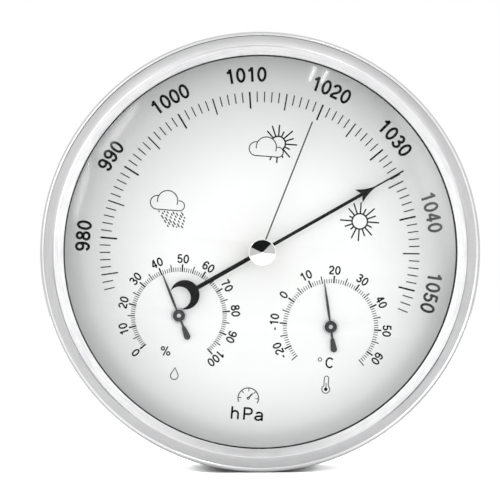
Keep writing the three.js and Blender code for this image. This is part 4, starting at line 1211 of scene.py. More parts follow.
@dataclass
class RingCase:
    """Turned and brushed ring that holds the glass, with its seal and spacer."""

    bench: Bench
    face_width: float = 7.05
    skirt_wall: float = 0.8
    bead: float = 0.85
    bead_front: float = 26.2
    groove: float = 1.3
    lip_back: float = 25.6
    lip_round: float = 0.15
    seal_reveal: float = 0.3
    spacer_width: float = 4.4
    tilts: tuple[Point, ...] = (
        (7.05, -13.0), (4.7, -6.0), (4.45, 4.0), (4.1, 14.0),
        (3.8, 21.0), (3.4, 24.0), (2.6, 27.0), (1.3, 31.0),
    )
    crown_steps: int = 48
    steps: int = 256

    def tilt(self, inset: float) -> float:
        """Degrees by which the front face tilts at an inset from the ring's outside."""
        for (outer_end, a), (inner_end, b) in zip(self.tilts, self.tilts[1:]):
            if inner_end <= inset <= outer_end:
                return a + (b - a) * (outer_end - inset) / (outer_end - inner_end)
        return self.tilts[-1][1]

    def crown(self, radius: float, crest: float) -> list[Point]:
        """Front face of the ring, from the groove inside its bead in to the lip.

        Args:
            radius: Outer radius of the ring.
            crest: Depth of its highest line.

        Returns:
            Profile points, worked out from how far the face tilts at each inset from the outside.
        """
        width, count = self.face_width - self.groove, self.crown_steps
        insets = [self.groove + width * i / count for i in range(count + 1)]
        heights = [0.0]
        for near, far in zip(insets, insets[1:]):
            heights.append(heights[-1] + (far - near) * math.tan(math.radians(self.tilt((near + far) / 2))))
        highest = max(heights)
        return [(radius - inset, crest + height - highest) for inset, height in zip(insets, heights)]

    def build_ring(self) -> None:
        """Makes the ring with its beaded edge and straight skirt."""
        span = Span.of("bezel_ring")
        skirt = span.radius - self.skirt_wall
        crown = self.crown(span.radius, span.front)
        middle = (span.radius - self.bead, self.bead_front - self.bead)
        edge = arc(middle, (self.bead, self.bead), 0, 102, 14)
        lip_radius, lip_front = crown[-1]
        inside = [
            (*crown[-2], 0), (lip_radius, lip_front, self.lip_round), (lip_radius, self.lip_back, 0.1),
            (skirt, self.lip_back, 0.2), (skirt, span.back, 0.25), (span.radius, span.back, 0.25),
            (span.radius, span.back + 4, 0),
        ]
        pen = SolidPen()
        pen.turn([*edge, *crown[:-1], *softened(inside, closed=False)[1:]], self.steps)
        self.bench.fit(pen, "brushed_ring", Body.CASE, Slot.RING, "bezel_ring", sharp_from=40)

    def build_seal(self) -> None:
        """Makes the rubber seal between glass and ring."""
        span = Span.of("glass_seal")
        inner = Span.of("bezel_ring").radius - self.face_width - self.seal_reveal
        corners = [
            (inner, span.back, 0.12), (span.radius, span.back, 0.05),
            (span.radius, span.front, 0.05), (inner, span.front, 0.2),
        ]
        self.bench.turned("rubber_seal", Body.CASE, Slot.RUBBER, "glass_seal", corners, self.steps)

    def build_spacer(self) -> None:
        """Makes the white ring that holds the glass off the dial."""
        span = Span.of("spacer_ring")
        corners = sleeve(span, span.radius - self.spacer_width, span.radius, 0.25)
        self.bench.turned("spacer", Body.CASE, Slot.WHITE_PLASTIC, "spacer_ring", corners, self.steps)

    def build(self) -> None:
        """Makes every piece."""
        self.build_ring()
        self.build_seal()
        self.build_spacer()


def sleeve(span: Span, inner: float, outer: float, edge: float) -> list[Place]:
    """Corners of a plain ring as deep as a span, with edges of this rounding."""
    ends = ((inner, span.back), (outer, span.back), (outer, span.front), (inner, span.front))
    return [(radius, depth, edge) for radius, depth in ends]


@dataclass
class DomedGlass:
    """Domed glass with a hole in its middle for the set hand's bush."""

    hole: float = 2.5
    rim: float = 58.45
    rise: float = 5.5
    thickness: float = 1.8
    chamfer: float = 0.15
    edge: float = 0.25
    rings: int = 28
    steps: int = 192

    @property
    def apex(self) -> float:
        """Depth of the dome's highest point."""
        return Span.of("domed_glass").back + self.thickness + self.rise

    @property
    def curve(self) -> float:
        """Fall of the dome per square millimetre of radius."""
        return self.rise / self.rim**2

    def dome(self, apex: float) -> list[Point]:
        """One face of the dome, from the hole to the rim."""
        start = self.hole + self.chamfer
        shares = [*(i / self.rings for i in range(self.rings)), 0.9995, 1.0]
        radii = [start + (self.rim - start) * share for share in shares]
        return [(radius, apex - self.curve * radius**2) for radius in radii]

    def build(self) -> None:
        """Makes the glass, its outer face in its own material."""
        span, edge = Span.of("domed_glass"), self.edge
        face = self.dome(self.apex)
        rear = self.dome(self.apex - self.thickness)[::-1]
        brim = [
            (span.radius - edge, face[-1][1]), (span.radius, face[-1][1] - edge),
            (span.radius, span.back + edge), (span.radius - edge, span.back),
        ]
        bore = [(self.hole, rear[-1][1] + self.chamfer), (self.hole, face[0][1] - self.chamfer)]
        profile = [*face, *brim, *rear, *bore]
        pen = SolidPen()
        pen.turn(profile, self.steps, slots=[0] * len(face) + [1] * (len(profile) - len(face)))
        glass = ClearGlass()
        dome = pen.finish("glass_dome", glass.outer(), glass.inner(), sharp_from=40)
        fitted(dome, Body.CASE, Slot.GLASS, "domed_glass")


@dataclass
class Dial:
    """White dial plate with its three scales, units and weather symbols."""

    bench: Bench
    unit_place: Point = (-0.2, -51.0)
    unit_height: float = 3.84
    symbol_height: float = -38.6
    gauge_place: Point = (-0.2, -43.0)
    bush_hole: float = 2.45
    small_bush_hole: float = 1.95

    def __post_init__(self) -> None:
        """Reads the plate's face and the small scales' centres from the frame."""
        self.span = Span.of("dial_plate")
        self.hygro, self.thermo = Span.of("hygro_bush").centre, Span.of("thermo_bush").centre

    def printer(self) -> DialPrinter:
        """Starts a print on the dial's face."""
        return DialPrinter(self.span.front)

    def build_plate(self) -> None:
        """Makes the plate with its three holes."""
        small_holes = [circle(self.small_bush_hole, centre, 48) for centre in (self.hygro, self.thermo)]
        plate, hole = circle(self.span.radius, steps=256), circle(self.bush_hole, steps=48)
        outline = Outline.of(plate, hole, *small_holes)
        self.bench.flat("enamelled_dial", Body.CASE, Slot.DIAL, "dial_plate", outline, 0.1)

    def print_scales(self, ink: Material) -> None:
        """Prints the large scale in two pieces and each small scale in one."""
        marks, figures = self.printer(), self.printer()
        PRESSURE.draw(marks, figures)
        marks.finish("pressure_marks", ink)
        figures.finish("pressure_figures", ink)
        for name, scale, centre in (("hygro", MOISTURE, self.hygro), ("thermo", WARMTH, self.thermo)):
            printer = self.printer()
            scale.draw(printer, printer, centre)
            printer.finish(f"{name}_scale", ink)

    def print_units(self, ink: Material) -> None:
        """Prints the unit of each scale."""
        printer = self.printer()
        x, z = self.unit_place
        for character, shift, stretch in (("h", -3.65, 1.3), ("P", 0.2, 1.3), ("a", 3.65, 1.35)):
            printer.letter(character, (x + shift, z), self.unit_height, stretch=stretch, weight=0.15)
        hygro, thermo = self.hygro, self.thermo
        printer.letter("%", (hygro[0] - 3.2, hygro[1] - 12.4), 2.85, stretch=1.1, weight=0.14)
        printer.letter("C", (thermo[0] + 0.6, thermo[1] - 12.55), 3.3, stretch=1.1, weight=0.15)
        printer.line(circle(0.52, (thermo[0] - 2.45, thermo[1] - 10.1), 20), 0.24, closed=True)
        printer.finish("unit_signs", ink)

    def print_symbols(self, ink: Material) -> None:
        """Prints rain, change and fair weather, and each scale's sign near its unit."""
        printer = self.printer()
        Drop((self.hygro[0], self.symbol_height)).draw(printer)
        ThermometerSign((self.thermo[0], self.symbol_height)).draw(printer)
        GaugeSign(self.gauge_place).draw(printer)
        rain_cloud, cloud = Cloud((-29.0, 10.5)), Cloud((-0.5, 28.9))
        rain_cloud.draw(printer)
        Rain((rain_cloud.base[0] - 2.6, rain_cloud.base[1])).draw(printer)
        cloud.draw(printer)
        Sun((2.96, 33.0), radius=2.2).draw(printer, cloud.covers)
        Sun((29.4, 11.45)).draw(printer)
        printer.finish("weather_symbols", ink)

    def build(self) -> None:
        """Makes the plate and everything printed on it."""
        ink = INK.material()
        self.build_plate()
        self.print_scales(ink)
        self.print_units(ink)
        self.print_symbols(ink)


@dataclass
class BarometerHand:
    """Black arrow hand with a crescent tail, on its hub, arbor and bush."""

    bench: Bench
    length: float = 49.7
    shaft: float = 0.49
    tail: float = 0.64
    point: float = 0.24
    barb_at: float = 34.1
    barb: float = 2.34
    barb_notch: float = 0.95
    barb_taper: float = 5.4
    crescent_at: float = 26.15
    crescent: float = 4.45
    bite: float = 3.36
    bite_offset: float = 1.81
    open_angle: float = 48.0
    hub: float = 2.0
    hub_chamfer: float = 0.35
    bore: float = 0.75

    def outline(self) -> Outline:
        """Edge of the hand, pointing up: the crescent, the hub, the shaft and the arrow head."""

        def below(radius: float, drop: float, start: float, end: float, steps: int) -> list[Point]:
            """Arc about a place this far below the axis, its angles in radians from straight down."""
            angles = [start + (end - start) * i / steps for i in range(steps + 1)]
            return [(radius * math.sin(a), -drop - radius * math.cos(a)) for a in angles]

        opening = math.radians(self.open_angle)
        tip = math.asin((self.crescent * math.sin(opening) - self.point) / self.bite)
        inner = below(self.bite, self.crescent_at + self.bite_offset, math.pi, tip, 30)
        neck = math.asin(self.tail / self.crescent)
        outer = below(self.crescent, self.crescent_at, opening, math.pi - neck, 36)
        corner = Vector((self.barb, self.barb_at))
        pull = Vector((self.barb / 3, self.barb_at + self.barb_taper * 0.45))
        flank = bend(corner, pull, Vector((self.point, self.barb_at + self.barb_taper)), 12)
        head = [(self.shaft, self.barb_at + self.barb_notch), *flank, (self.point, self.length)]
        right = [(0.0, inner[0][1]), *inner[1:], *outer, *boss(self.hub, self.tail, self.shaft), *head]
        return Outline.of(mirrored(right), circle(self.bore, steps=32))

    def build_hub(self) -> None:
        """Makes the hub that grips the arbor."""
        span, bore, chamfer = Span.of("baro_hub"), self.bore, self.hub_chamfer
        corners = [
            (bore, span.back, 0.05), (self.hub - chamfer, span.back, 0.1),
            (self.hub, span.back + chamfer, 0.1), (self.hub, span.front, 0.05), (bore, span.front, 0.05),
        ]
        self.bench.turned("arrow_hub", Body.BARO, Slot.BRASS, "baro_hub", corners, 64)

    def build_arbor(self) -> None:
        """Makes the arbor, with its rear pivot, the drum that the chain winds on and its collet."""
        span, collet_end = Span.of("hand_arbor"), Span.of("dial_bush").back - FIT
        pivot, shaft, drum, flange, collet = 0.5, self.bore - FIT, 0.75, 1.3, 0.9
        pivot_end, rear, front = span.back + 1.5, span.back + 1.8, span.back + 2.8
        rim = 0.2
        corners = [
            (0, span.back, 0), (pivot, span.back, 0.1), (pivot, pivot_end, 0), (shaft, pivot_end, 0.05),
            (shaft, rear, 0), (flange, rear, 0.06), (flange, rear + rim, 0.06), (drum, rear + rim, 0),
            (drum, front, 0), (flange, front, 0.06), (flange, front + rim, 0.06), (collet, front + rim, 0),
            (collet, collet_end, 0.06), (shaft, collet_end, 0), (shaft, span.front, 0.25), (0, span.front, 0),
        ]
        self.bench.turned("arrow_arbor", Body.BARO, Slot.ZINC, "hand_arbor", corners, 40)

    def build_bush(self) -> None:
        """Makes the bush in the dial that the arbor turns in."""
        span = Span.of("dial_bush")
        stem, flange, seat, chamfer = 2.4, 3.4, span.front - 0.6, 0.25
        corners = [
            (self.bore, span.back, 0.05), (stem, span.back, 0.15), (stem, seat, 0), (flange, seat, 0.05),
            (flange, span.front, 0.25), (self.bore + chamfer, span.front, 0.05),
            (self.bore, span.front - chamfer, 0.05),
        ]
        self.bench.turned("dial_bearing", Body.CASE, Slot.BRASS, "dial_bush", corners, 72)

    def build(self) -> None:
        """Makes every piece."""
        hand = self.outline().placed(PRESSURE.angle(PRESSURE_READING))
        self.bench.flat("arrow_hand", Body.BARO, Slot.BLACK_PAINT, "baro_hand", hand, 0.04)
        self.build_hub()
        self.build_arbor()
        self.build_bush()


@dataclass
class SetHand:
    """Thin set hand behind the glass, with its spindle, bearing and dished knob."""

    bench: Bench
    length: float = 42.2
    half_width: float = 0.21
    tip: float = 0.2
    eye: float = 2.0
    spindle: float = 1.2
    knob: float = 4.05
    knob_edge: float = 0.22
    knob_dish: float = 1.2

    def build_hand(self) -> None:
        """Makes the needle with its round eye."""
        width = self.half_width
        eye = boss(self.eye, 0.0, width * 2, 32)
        needle = [(width, self.eye * 2), (width, self.length - self.tip), (0.0, self.length)]
        edge = mirrored([(0.0, eye[0][1]), *eye[1:], *needle])
        outline = Outline.of(edge, circle(self.spindle + FIT, steps=40))
        placed = outline.placed(PRESSURE.angle(SET_READING))
        self.bench.flat("set_needle", Body.SET, Slot.GREY_PAINT, "set_hand", placed, 0.05)

    def build_knob(self) -> None:
        """Makes the polished knob with its shallow dished face."""
        span = Span.of("set_knob")
        bore, bore_end = self.spindle + FIT, Span.of("knob_spindle").front + FIT
        inner = self.knob - self.knob_edge
        corners = [
            (bore, span.back, 0.1), (self.knob, span.back, self.knob_edge),
            (self.knob, span.front, self.knob_edge), (inner, span.front, 0.1),
        ]
        side = softened(corners, closed=True, steps=6)
        shares = [0.006, *(i / 12 for i in range(1, 12))]
        cone = [((inner - 0.02) * (1 - share), span.front - self.knob_dish * share) for share in shares]
        pen = SolidPen()
        profile = [(0.0, bore_end), (bore, bore_end), *side[3:], *cone, (0.0, span.front - self.knob_dish)]
        pen.turn(profile, 128)
        self.bench.fit(pen, "dished_knob", Body.SET, Slot.KNOB, "set_knob", sharp_from=50)

    def build_bearing(self) -> None:
        """Makes the spindle, the bush in the glass, its nut and the friction washer."""
        nodes = ("knob_spindle", "set_hand", "friction_washer", "glass_bush", "bush_nut")
        spindle, hand, washer, bush, nut = (Span.of(node) for node in nodes)
        pin, collar, bore = self.spindle, 2.0, self.spindle + FIT
        corners = [
            (0, spindle.back, 0), (pin, spindle.back, 0.12), (pin, hand.front, 0), (collar, hand.front, 0.12),
            (collar, washer.back, 0.12), (pin, washer.back, 0), (pin, spindle.front, 0.12),
            (0, spindle.front, 0),
        ]
        self.bench.turned("set_spindle", Body.SET, Slot.ZINC, "knob_spindle", corners, 56)

        stem, flange, seat = 2.45, 3.4, bush.front - 0.6
        corners = [
            (bore, bush.back, 0.1), (stem, bush.back, 0.2), (stem, seat, 0), (flange, seat, 0.05),
            (flange, bush.front, 0.22), (bore, bush.front, 0.1),
        ]
        self.bench.turned("glass_bearing", Body.CASE, Slot.BRASS, "glass_bush", corners, 64)

        outline = Outline.of([clock(nut.radius, 60 * i) for i in range(6)], circle(stem + FIT, steps=40))
        self.bench.flat("hex_nut", Body.CASE, Slot.BRASS, "bush_nut", outline, 0.18)
        corners = sleeve(washer, bore, 3.0, 0.08)
        self.bench.turned("spring_washer", Body.CASE, Slot.ZINC, "friction_washer", corners, 64)

    def build(self) -> None:
        """Makes every piece."""
        self.build_hand()
        self.build_knob()
        self.build_bearing()


@dataclass
class SmallInstrument:
    """Grey hand of a small scale, with its cap, arbor and bush."""

    bench: Bench
    name: str
    body: Body
    angle: float
    length: float = 13.4
    hub: float = 1.87
    arbor: float = 0.6

    def outline(self) -> Outline:
        """Edge of the hand, pointing up: a leaf-shaped needle, the boss and a spade tail."""
        neck, root, tail_low = 0.33, 0.25, 7.8
        tail = [(0.0, -tail_low), (0.3, -tail_low + 0.02), *arc((0.0, -6.85), (0.98, 0.9), -68, 10, 8)]
        needle = [(0.33, 3.4), (0.39, 5.6), (0.35, 8.5), (0.14, self.length - 0.1), (0.0, self.length)]
        right = [*tail, (0.6, -3.8), (neck, -3.6), *boss(self.hub, neck, root), *needle]
        return Outline.of(mirrored(right), circle(self.arbor + FIT, steps=28))

    def build(self) -> None:
        """Makes the hand, its cap, its arbor and the bush in the dial."""
        nodes = [f"{self.name}_{part}" for part in ("hand", "hub", "arbor", "bush")]
        hub, arbor, bush = (Span.of(node) for node in nodes[1:])
        centre, bore = bush.centre, self.arbor + FIT
        hand = self.outline().placed(self.angle, centre)
        self.bench.flat(f"{self.name}_needle", self.body, Slot.GREY_PAINT, nodes[0], hand, 0.05)

        groove = hub.front - 0.16
        cap = [
            (bore, hub.back, 0.04), (self.hub, hub.back, 0.05), (self.hub, hub.front, 0.18),
            (1.52, hub.front, 0.04), (1.42, groove, 0.04), (1.28, groove, 0.04), (1.18, hub.front, 0.04),
            (bore, hub.front, 0.06),
        ]
        collet, collet_end = 1.6, bush.back - 0.3
        pin = [
            (0, arbor.back, 0), (collet, arbor.back, 0.15), (collet, collet_end, 0.15),
            (self.arbor, collet_end, 0), (self.arbor, arbor.front, 0.1), (0.33, arbor.front, 0.03),
            (0.24, arbor.front - 0.6, 0.04), (0, arbor.front - 0.7, 0),
        ]
        stem, flange, seat, chamfer = 1.9, 2.4, bush.front - 0.3, 0.2
        bearing = [
            (bore, bush.back, 0.05), (stem, bush.back, 0.12), (stem, seat, 0), (flange, seat, 0.02),
            (flange - 0.06, seat + 0.06, 0.02), (flange - 0.32, bush.front, 0.03),
            (bore + chamfer, bush.front, 0.04), (bore, bush.front - chamfer, 0.04),
        ]
        pieces = (
            ("cap", self.body, Slot.GREY_PAINT, cap, 64),
            ("pin", self.body, Slot.ZINC, pin, 40),
            ("bearing", Body.CASE, Slot.ZINC, bearing, 64),
        )
        for (part, body, slot, corners, steps), node in zip(pieces, nodes[1:]):
            self.bench.turned(f"{self.name}_{part}", body, slot, node, corners, steps, centre)


@dataclass
class RearCover:
    """Grained plastic back with its keyhole, vents, screws and adjuster."""

    bench: Bench
    wall: float = 2.2
    floor: float = 2.2
    corner: float = 1.0
    screw_angles: tuple[int, ...] = (60, 180, 300)
    screw_circle: float = 59.0
    screw_head: Point = (2.4, 1.3)
    screw_shank: float = 1.0
    thread_pitch: float = 0.8
    thread_depth: float = 0.16
    boss: float = 4.0
    boss_front: float = 12.7
    notch_width: float = 9.2
    screw_hole: float = 1.3
    counterbore: Point = (2.7, 1.8)
    keyhole_z: float = 40.0
    keyhole_head: float = 4.5
    keyhole_slot: float = 2.4
    keyhole_length: float = 8.0
    access_hole: float = 3.0
    vent_count: int = 5
    vent_pitch: float = 3.6
    vent_size: Point = (13.0, 1.6)
    lead: float = 0.3

    def keyhole(self) -> Outline:
        """Edge of the keyhole: a round head below a narrow slot with a round top."""
        top = self.keyhole_z + self.keyhole_length - self.keyhole_slot
        side = math.degrees(math.asin(self.keyhole_slot / self.keyhole_head))
        middle, steps = (0.0, self.keyhole_z), 48
        angles = [side + (360 - 2 * side) * i / steps for i in range(steps + 1)]
        head = [clock(self.keyhole_head, angle, middle) for angle in angles]
        return Outline.of([*head, *arc((0.0, top), (self.keyhole_slot, self.keyhole_slot), 180, 0, 24)])

    def vent(self, x: float, z: float) -> Outline:
        """Edge of one vent: a slot with round ends."""
        width, height = self.vent_size
        reach, radius = (width - height) / 2, height / 2
        ends = [arc((x + way * reach, z), (radius, radius), -90 * way, 180 - 90 * way, 12) for way in (1, -1)]
        return Outline.of([*ends[0], *ends[1]])

    def openings(self) -> SolidPen:
        """Every cut that goes through the cover's floor, with a lead-in at its rear face."""
        pen = SolidPen()
        through = [(-1, -self.lead), (0, -self.lead), (self.lead, 0), (self.floor + 1, 0)]
        pen.extrude(self.keyhole(), through)
        for place in (Span.of("hygro_bush"), Span.of("thermo_bush")):
            for i in range(self.vent_count):
                shift = (i - (self.vent_count - 1) / 2) * self.vent_pitch
                pen.extrude(self.vent(place.x, place.z + shift), through)
        access = circle(self.access_hole, Span.of("adjusting_screw").centre, 48)
        pen.extrude(Outline.of(access), through)
        return pen

    def build_shell(self) -> None:
        """Makes the cover."""
        span = Span.of("rear_cover")
        inner = span.radius - self.wall
        corners = [
            (0, span.back, 0), (span.radius, span.back, self.corner), (span.radius, span.front, 0.3),
            (inner, span.front, 0.3), (inner, self.floor, 1.2), (0, self.floor, 0),
        ]
        pen = SolidPen()
        pen.turn(softened(corners, closed=False, steps=6), 160)
        shell = pen.finish("back_cover", self.bench.finish(Slot.BLACK_PLASTIC))
        bosses, cuts, notches = SolidPen(), SolidPen(), SolidPen()
        hole, (bore, bore_depth) = self.screw_hole, self.counterbore
        wide = bore + self.lead
        for angle in self.screw_angles:
            place = clock(self.screw_circle, angle)
            outline = Outline.of(circle(self.boss, place, 48))
            bosses.extrude(outline, [(self.floor / 2, 0), (self.boss_front, 0)])
            stepped = [(0, -1), (wide, -1), (wide, 0), (bore, self.lead), (bore, bore_depth)]
            cuts.turn([*stepped, (hole, bore_depth), (hole, span.front), (0, span.front)], 48, place)
            length = span.front - self.boss_front + 1
            middle = (0.0, self.boss_front + length / 2, span.radius)
            notches.box((self.notch_width, length, self.wall * 4), middle, angle)
        combined(shell, bosses, "UNION")
        for solids in (notches, cuts, self.openings()):
            combined(shell, solids)
        fitted(shell, Body.CASE, Slot.BLACK_PLASTIC, "rear_cover")

    def build_screw(
        self, name: str, body: Body, slot: Slot, node: str, corners: Sequence[Place], cuts: Sequence[Place]
    ) -> None:
        """Makes a turned screw with cuts in its head.

        Args:
            name: Its name.
            body: The CAD body that it rides on.
            slot: The record's slot of its finish.
            node: The CAD node that it stands for.
            corners: (radius, depth, rounding) of each corner from axis to axis.
            cuts: (width, depth, height) of each cut, about the middle of its rear face.
        """
        span, pen = Span.of(node), SolidPen()
        pen.turn(softened(corners, closed=False), 48, self.places[node])
        screw = pen.finish(name, self.bench.finish(slot))
        for size in cuts:
            cut = SolidPen()
            x, z = self.places[node]
            cut.box(size, (x, span.back, z))
            combined(screw, cut)
        fitted(screw, body, slot, node)

    def build_cover_screw(self, number: int) -> None:
        """Makes one cover screw with a cross recess and a thread."""
        node = f"rear_screw_{number}"
        span = Span.of(node)
        (head, head_height), shank, pitch = self.screw_head, self.screw_shank, self.thread_pitch
        start = span.back + head_height
        thread = []
        for i in range(int((span.front - start - 2.2) / pitch)):
            depth = start + 1.6 + i * pitch
            thread += [(shank - self.thread_depth, depth, 0), (shank, depth + pitch * 0.45, 0)]
        corners = [
            (0, span.back, 0), (head * 0.72, span.back + 0.06, 0.5),
            (head, span.back + head_height * 0.5, 0.35), (head, start, 0.1), (shank, start, 0),
            (shank, start + 1.4, 0), *thread, (shank - 0.2, span.front - 0.5, 0),
            (shank * 0.5, span.front, 0.1), (0, span.front, 0),
        ]
        cross = [(0.6, 1.5, head * 1.1), (head * 1.1, 1.4, 0.6)]
        self.build_screw(f"cover_screw_{number}", Body.CASE, Slot.DARK_STEEL, node, corners, cross)

    def build_adjuster(self) -> None:
        """Makes the slotted brass screw that sets the barometer."""
        span = Span.of("adjusting_screw")
        head, shank, head_front = span.radius, 1.0, span.back + 1.5
        corners = [
            (0, span.back, 0), (head, span.back, 0.25), (head, head_front, 0.15), (shank, head_front, 0),
            (shank, span.front, 0.2), (0, span.front, 0),
        ]
        slot = [(head * 3, 1.4, 0.5)]
        self.build_screw("slotted_adjuster", Body.ADJUSTER, Slot.BRASS, "adjusting_screw", corners, slot)

    def build(self) -> None:
        """Makes every piece."""
        numbered = enumerate(self.screw_angles, 1)
        self.places = {f"rear_screw_{number}": clock(self.screw_circle, angle) for number, angle in numbered}
        self.places["adjusting_screw"] = Span.of("adjusting_screw").centre
        self.build_shell()
        for number in range(1, len(self.screw_angles) + 1):
            self.build_cover_screw(number)
        self.build_adjuster()


def dress_inner_works(bench: Bench) -> None:
    """Gives each CAD node that still shows the finish of its slot."""
    slots = {row["node"]: row["material_slot"] for row in frame["record"]["subparts"]}
    for name, node in frame["nodes"].items():
        if node.hide_render:
            continue
        node.data.materials.clear()
        node.data.materials.append(bench.finish(Slot(slots[name])))
        LOG.info("node %s is finished in %s", name, slots[name])


# Studio


@dataclass(frozen=True)
class Streak:
    """A reflection on the glass, given by the pixels that it runs between in a 500 pixel picture."""

    start: Point
    end: Point
    width: float
    radiance: float
    oval: bool = False


@dataclass
class Studio:
    """White studio in which the instrument stands on its rim, leaning a little to the right."""

    glass: DomedGlass
    picture: float = 500.0
    ring_centre: Point = (260.9, 252.2)
    ring_pixels: float = 220.3
    lean: float = 4.35
    azimuth: float = -2.5
    elevation: float = 0.9
    distance: float = 720.0
    ring_depth: float = 25.6
    floor_front: float = -60.0
    floor_ends: Point = (-700.0, 1000.0)
    floor_half: float = 300.0
    floor_gap: float = 0.10
    floor_white: float = 3.6
    floor_shade: float = 0.8
    shade_middle: float = 3.6
    shade_sides: Point = (9.0, 22.0)
    shade_front: Point = (-28.5, -26.2)
    shade_rear: Point = (0.0, 5.0)
    lamp_distance: float = 1000.0
    gap_angle: float = 163.5
    gap_edge: Point = (0.60, 0.635)
    gap_light: float = 0.012
    upper_angle: float = -9.0
    upper_edge: Point = (0.06, 0.22)
    upper_light: Point = (0.62, 1.25)
    key_angle: float = -25.0
    key_edge: Point = (0.3, 0.8)
    key_start: Point = (70.0, 77.0)
    key_light: float = 3.0
    overhead_edge: Point = (0.25, 0.55)
    overhead_light: Point = (0.76, 1.50)
    below_edge: Point = (0.72, 0.93)
    below_light: Point = (1.31, 1.63)
    level_edge: Point = (-0.15, 0.15)
    high_edge: Point = (0.45, 0.75)
    low_fall: Point = (46.0, 54.0)
    low_light: Point = (1.08, 0.96)
    high_fall: Point = (46.0, 68.0)
    high_light: Point = (1.22, 0.79)
    straight_end: Point = (27.0, 29.5)
    middle_end: Point = (44.0, 48.0)
    front_end: Point = (84.0, 96.0)
    rear_start: Point = (105.0, 130.0)
    rear_light: Point = (0.9, 1.1)
    streaks: tuple[Streak, ...] = (
        Streak((315.8, 65.6), (309.5, 80.5), 1.0, 290.0),
        Streak((328.2, 69.4), (321.3, 82.3), 1.0, 290.0),
        Streak((139.6, 102.7), (98.0, 157.0), 7.5, 26.0, oval=True),
        Streak((90.8, 157.0), (74.0, 222.0), 6.5, 28.0, oval=True),
    )

    def __post_init__(self) -> None:
        """Works out the camera's place from where the ring lies in the picture."""
        azimuth, elevation, lean = (math.radians(a) for a in (self.azimuth, self.elevation, self.lean))
        side = math.cos(elevation)
        back = Vector((math.sin(azimuth) * side, -math.cos(azimuth) * side, math.sin(elevation)))
        self.scale = Span.of("bezel_ring").radius / self.ring_pixels
        ring = Vector((0.0, -self.ring_depth, 0.0))
        self.location = ring + back * self.distance
        upward = Vector((-math.sin(lean), 0.0, math.cos(lean)))
        right = upward.cross(back).normalized()
        up = back.cross(right)
        off_x, off_y = ((place - self.picture / 2) * self.scale for place in self.ring_centre)
        self.back = (self.location - (ring - right * off_x + up * off_y)).normalized()
        self.right = upward.cross(self.back).normalized()
        self.up = self.back.cross(self.right)

    def place_camera(self) -> None:
        """Makes the camera."""
        data = bpy.data.cameras.new("photo_camera")
        data.sensor_width = 36.0
        data.lens = data.sensor_width * self.distance / (self.picture * self.scale)
        data.clip_start, data.clip_end = 0.01, 50.0
        camera = bpy.data.objects.new("photo_camera", data)
        axes = Matrix((self.right, self.up, self.back)).transposed()
        camera.matrix_world = Matrix.Translation(self.location * MM) @ axes.to_4x4()
        bpy.context.scene.collection.objects.link(camera)
        bpy.context.scene.camera = camera

    def place_floor(self) -> None:
        """Makes the pale floor under the rim: the part near the instrument also shows in its metal."""
        down = Vector((-self.up.x, 0.0, -self.up.z)).normalized()
        across = down.cross(Vector((0.0, 1.0, 0.0)))
        drop = down * (Span.of("bezel_ring").radius + self.floor_gap)
        material = self.floor_material()
        first, last = self.floor_ends
        parts = (("near_floor", self.floor_front, last), ("front_floor", first, self.floor_front))
        for name, near, far in parts:
            corners = [
                drop + across * side * self.floor_half + Vector((0.0, depth, 0.0))
                for side, depth in ((-1, near), (1, near), (1, far), (-1, far))
            ]
            mesh = bpy.data.meshes.new(name)
            mesh.from_pydata([corner * MM for corner in corners], [], [(0, 1, 2, 3)])
            mesh.materials.append(material)
            floor = bpy.data.objects.new(name, mesh)
            bpy.context.scene.collection.objects.link(floor)
            floor.visible_glossy = name == "near_floor"

    def floor_material(self) -> Material:
        """Makes a floor that is white to the camera, except for a strip of painted shade under the rim, where
        it is darker to the camera so the contact shadow shows.
        """
        material, pen = new_material("studio_floor")
        grey = pen.remap(pen.noise(Grain.EVEN, 3.0, 3.0), (0.3, 0.7), (0.785, 0.815))
        x, y, _ = pen.split()
        # Painted shade: to the camera the floor is much darker in a strip under the rim than elsewhere, where
        # weak shadows clip to white
        sideways = pen.math("ABSOLUTE", pen.minus(x, self.shade_middle * MM))
        fade_in, fade_out = (self.floor_white, self.floor_shade), (self.floor_shade, self.floor_white)
        white = pen.remap(sideways, self.shade_sides, fade_out, MM)
        for band, results in ((self.shade_front, fade_in), (self.shade_rear, fade_out)):
            white = pen.math("MAXIMUM", white, pen.remap(y, band, results, MM))
        sight = pen.node("ShaderNodeLightPath").outputs["Is Camera Ray"]
        colour = pen.times(grey, pen.blend(sight, 1.0, white))
        pen.surface(pen.made("ShaderNodeBsdfDiffuse", {"Color": colour}))
        return material

    @staticmethod
    def shares(pen: NodePen, x: Socket, z: Socket) -> list[Socket]:
        """How far a direction that leads away from the axis leads to the right, and how far upward."""
        reach = pen.math("MAXIMUM", pen.reach(x, z), 1e-4)
        return [pen.math("DIVIDE", part, reach) for part in (x, z)]

    def light_world(self) -> None:
        """Makes the soft studio light, greyer at the sides and with a dark gap low in front."""
        world = bpy.data.worlds.new("white_studio")
        bpy.context.scene.world = world
        world.use_nodes = True
        world.cycles.sampling_method = "NONE"
        pen = NodePen(world.node_tree)
        x, y, z = pen.split("Generated")
        polar = pen.times(pen.math("ARCCOSINE", pen.times(y, -1.0)), 180 / math.pi)
        sight = pen.node("ShaderNodeLightPath").outputs

        # What the knob and the glass see round the camera, and a key light that no reflection shows
        away = self.shares(pen, x, z)
        gap = pen.remap(pen.toward(self.gap_angle, *away), self.gap_edge)
        upper = pen.cross(pen.toward(self.upper_angle, *away), self.upper_edge, *self.upper_light)
        middle = pen.blend(gap, upper, self.gap_light)
        toward_key = pen.remap(pen.toward(self.key_angle, *away), self.key_edge)
        key = pen.times(toward_key, pen.remap(polar, self.key_start))
        soft_key = pen.times(key, pen.minus(1.0, sight["Is Glossy Ray"]))

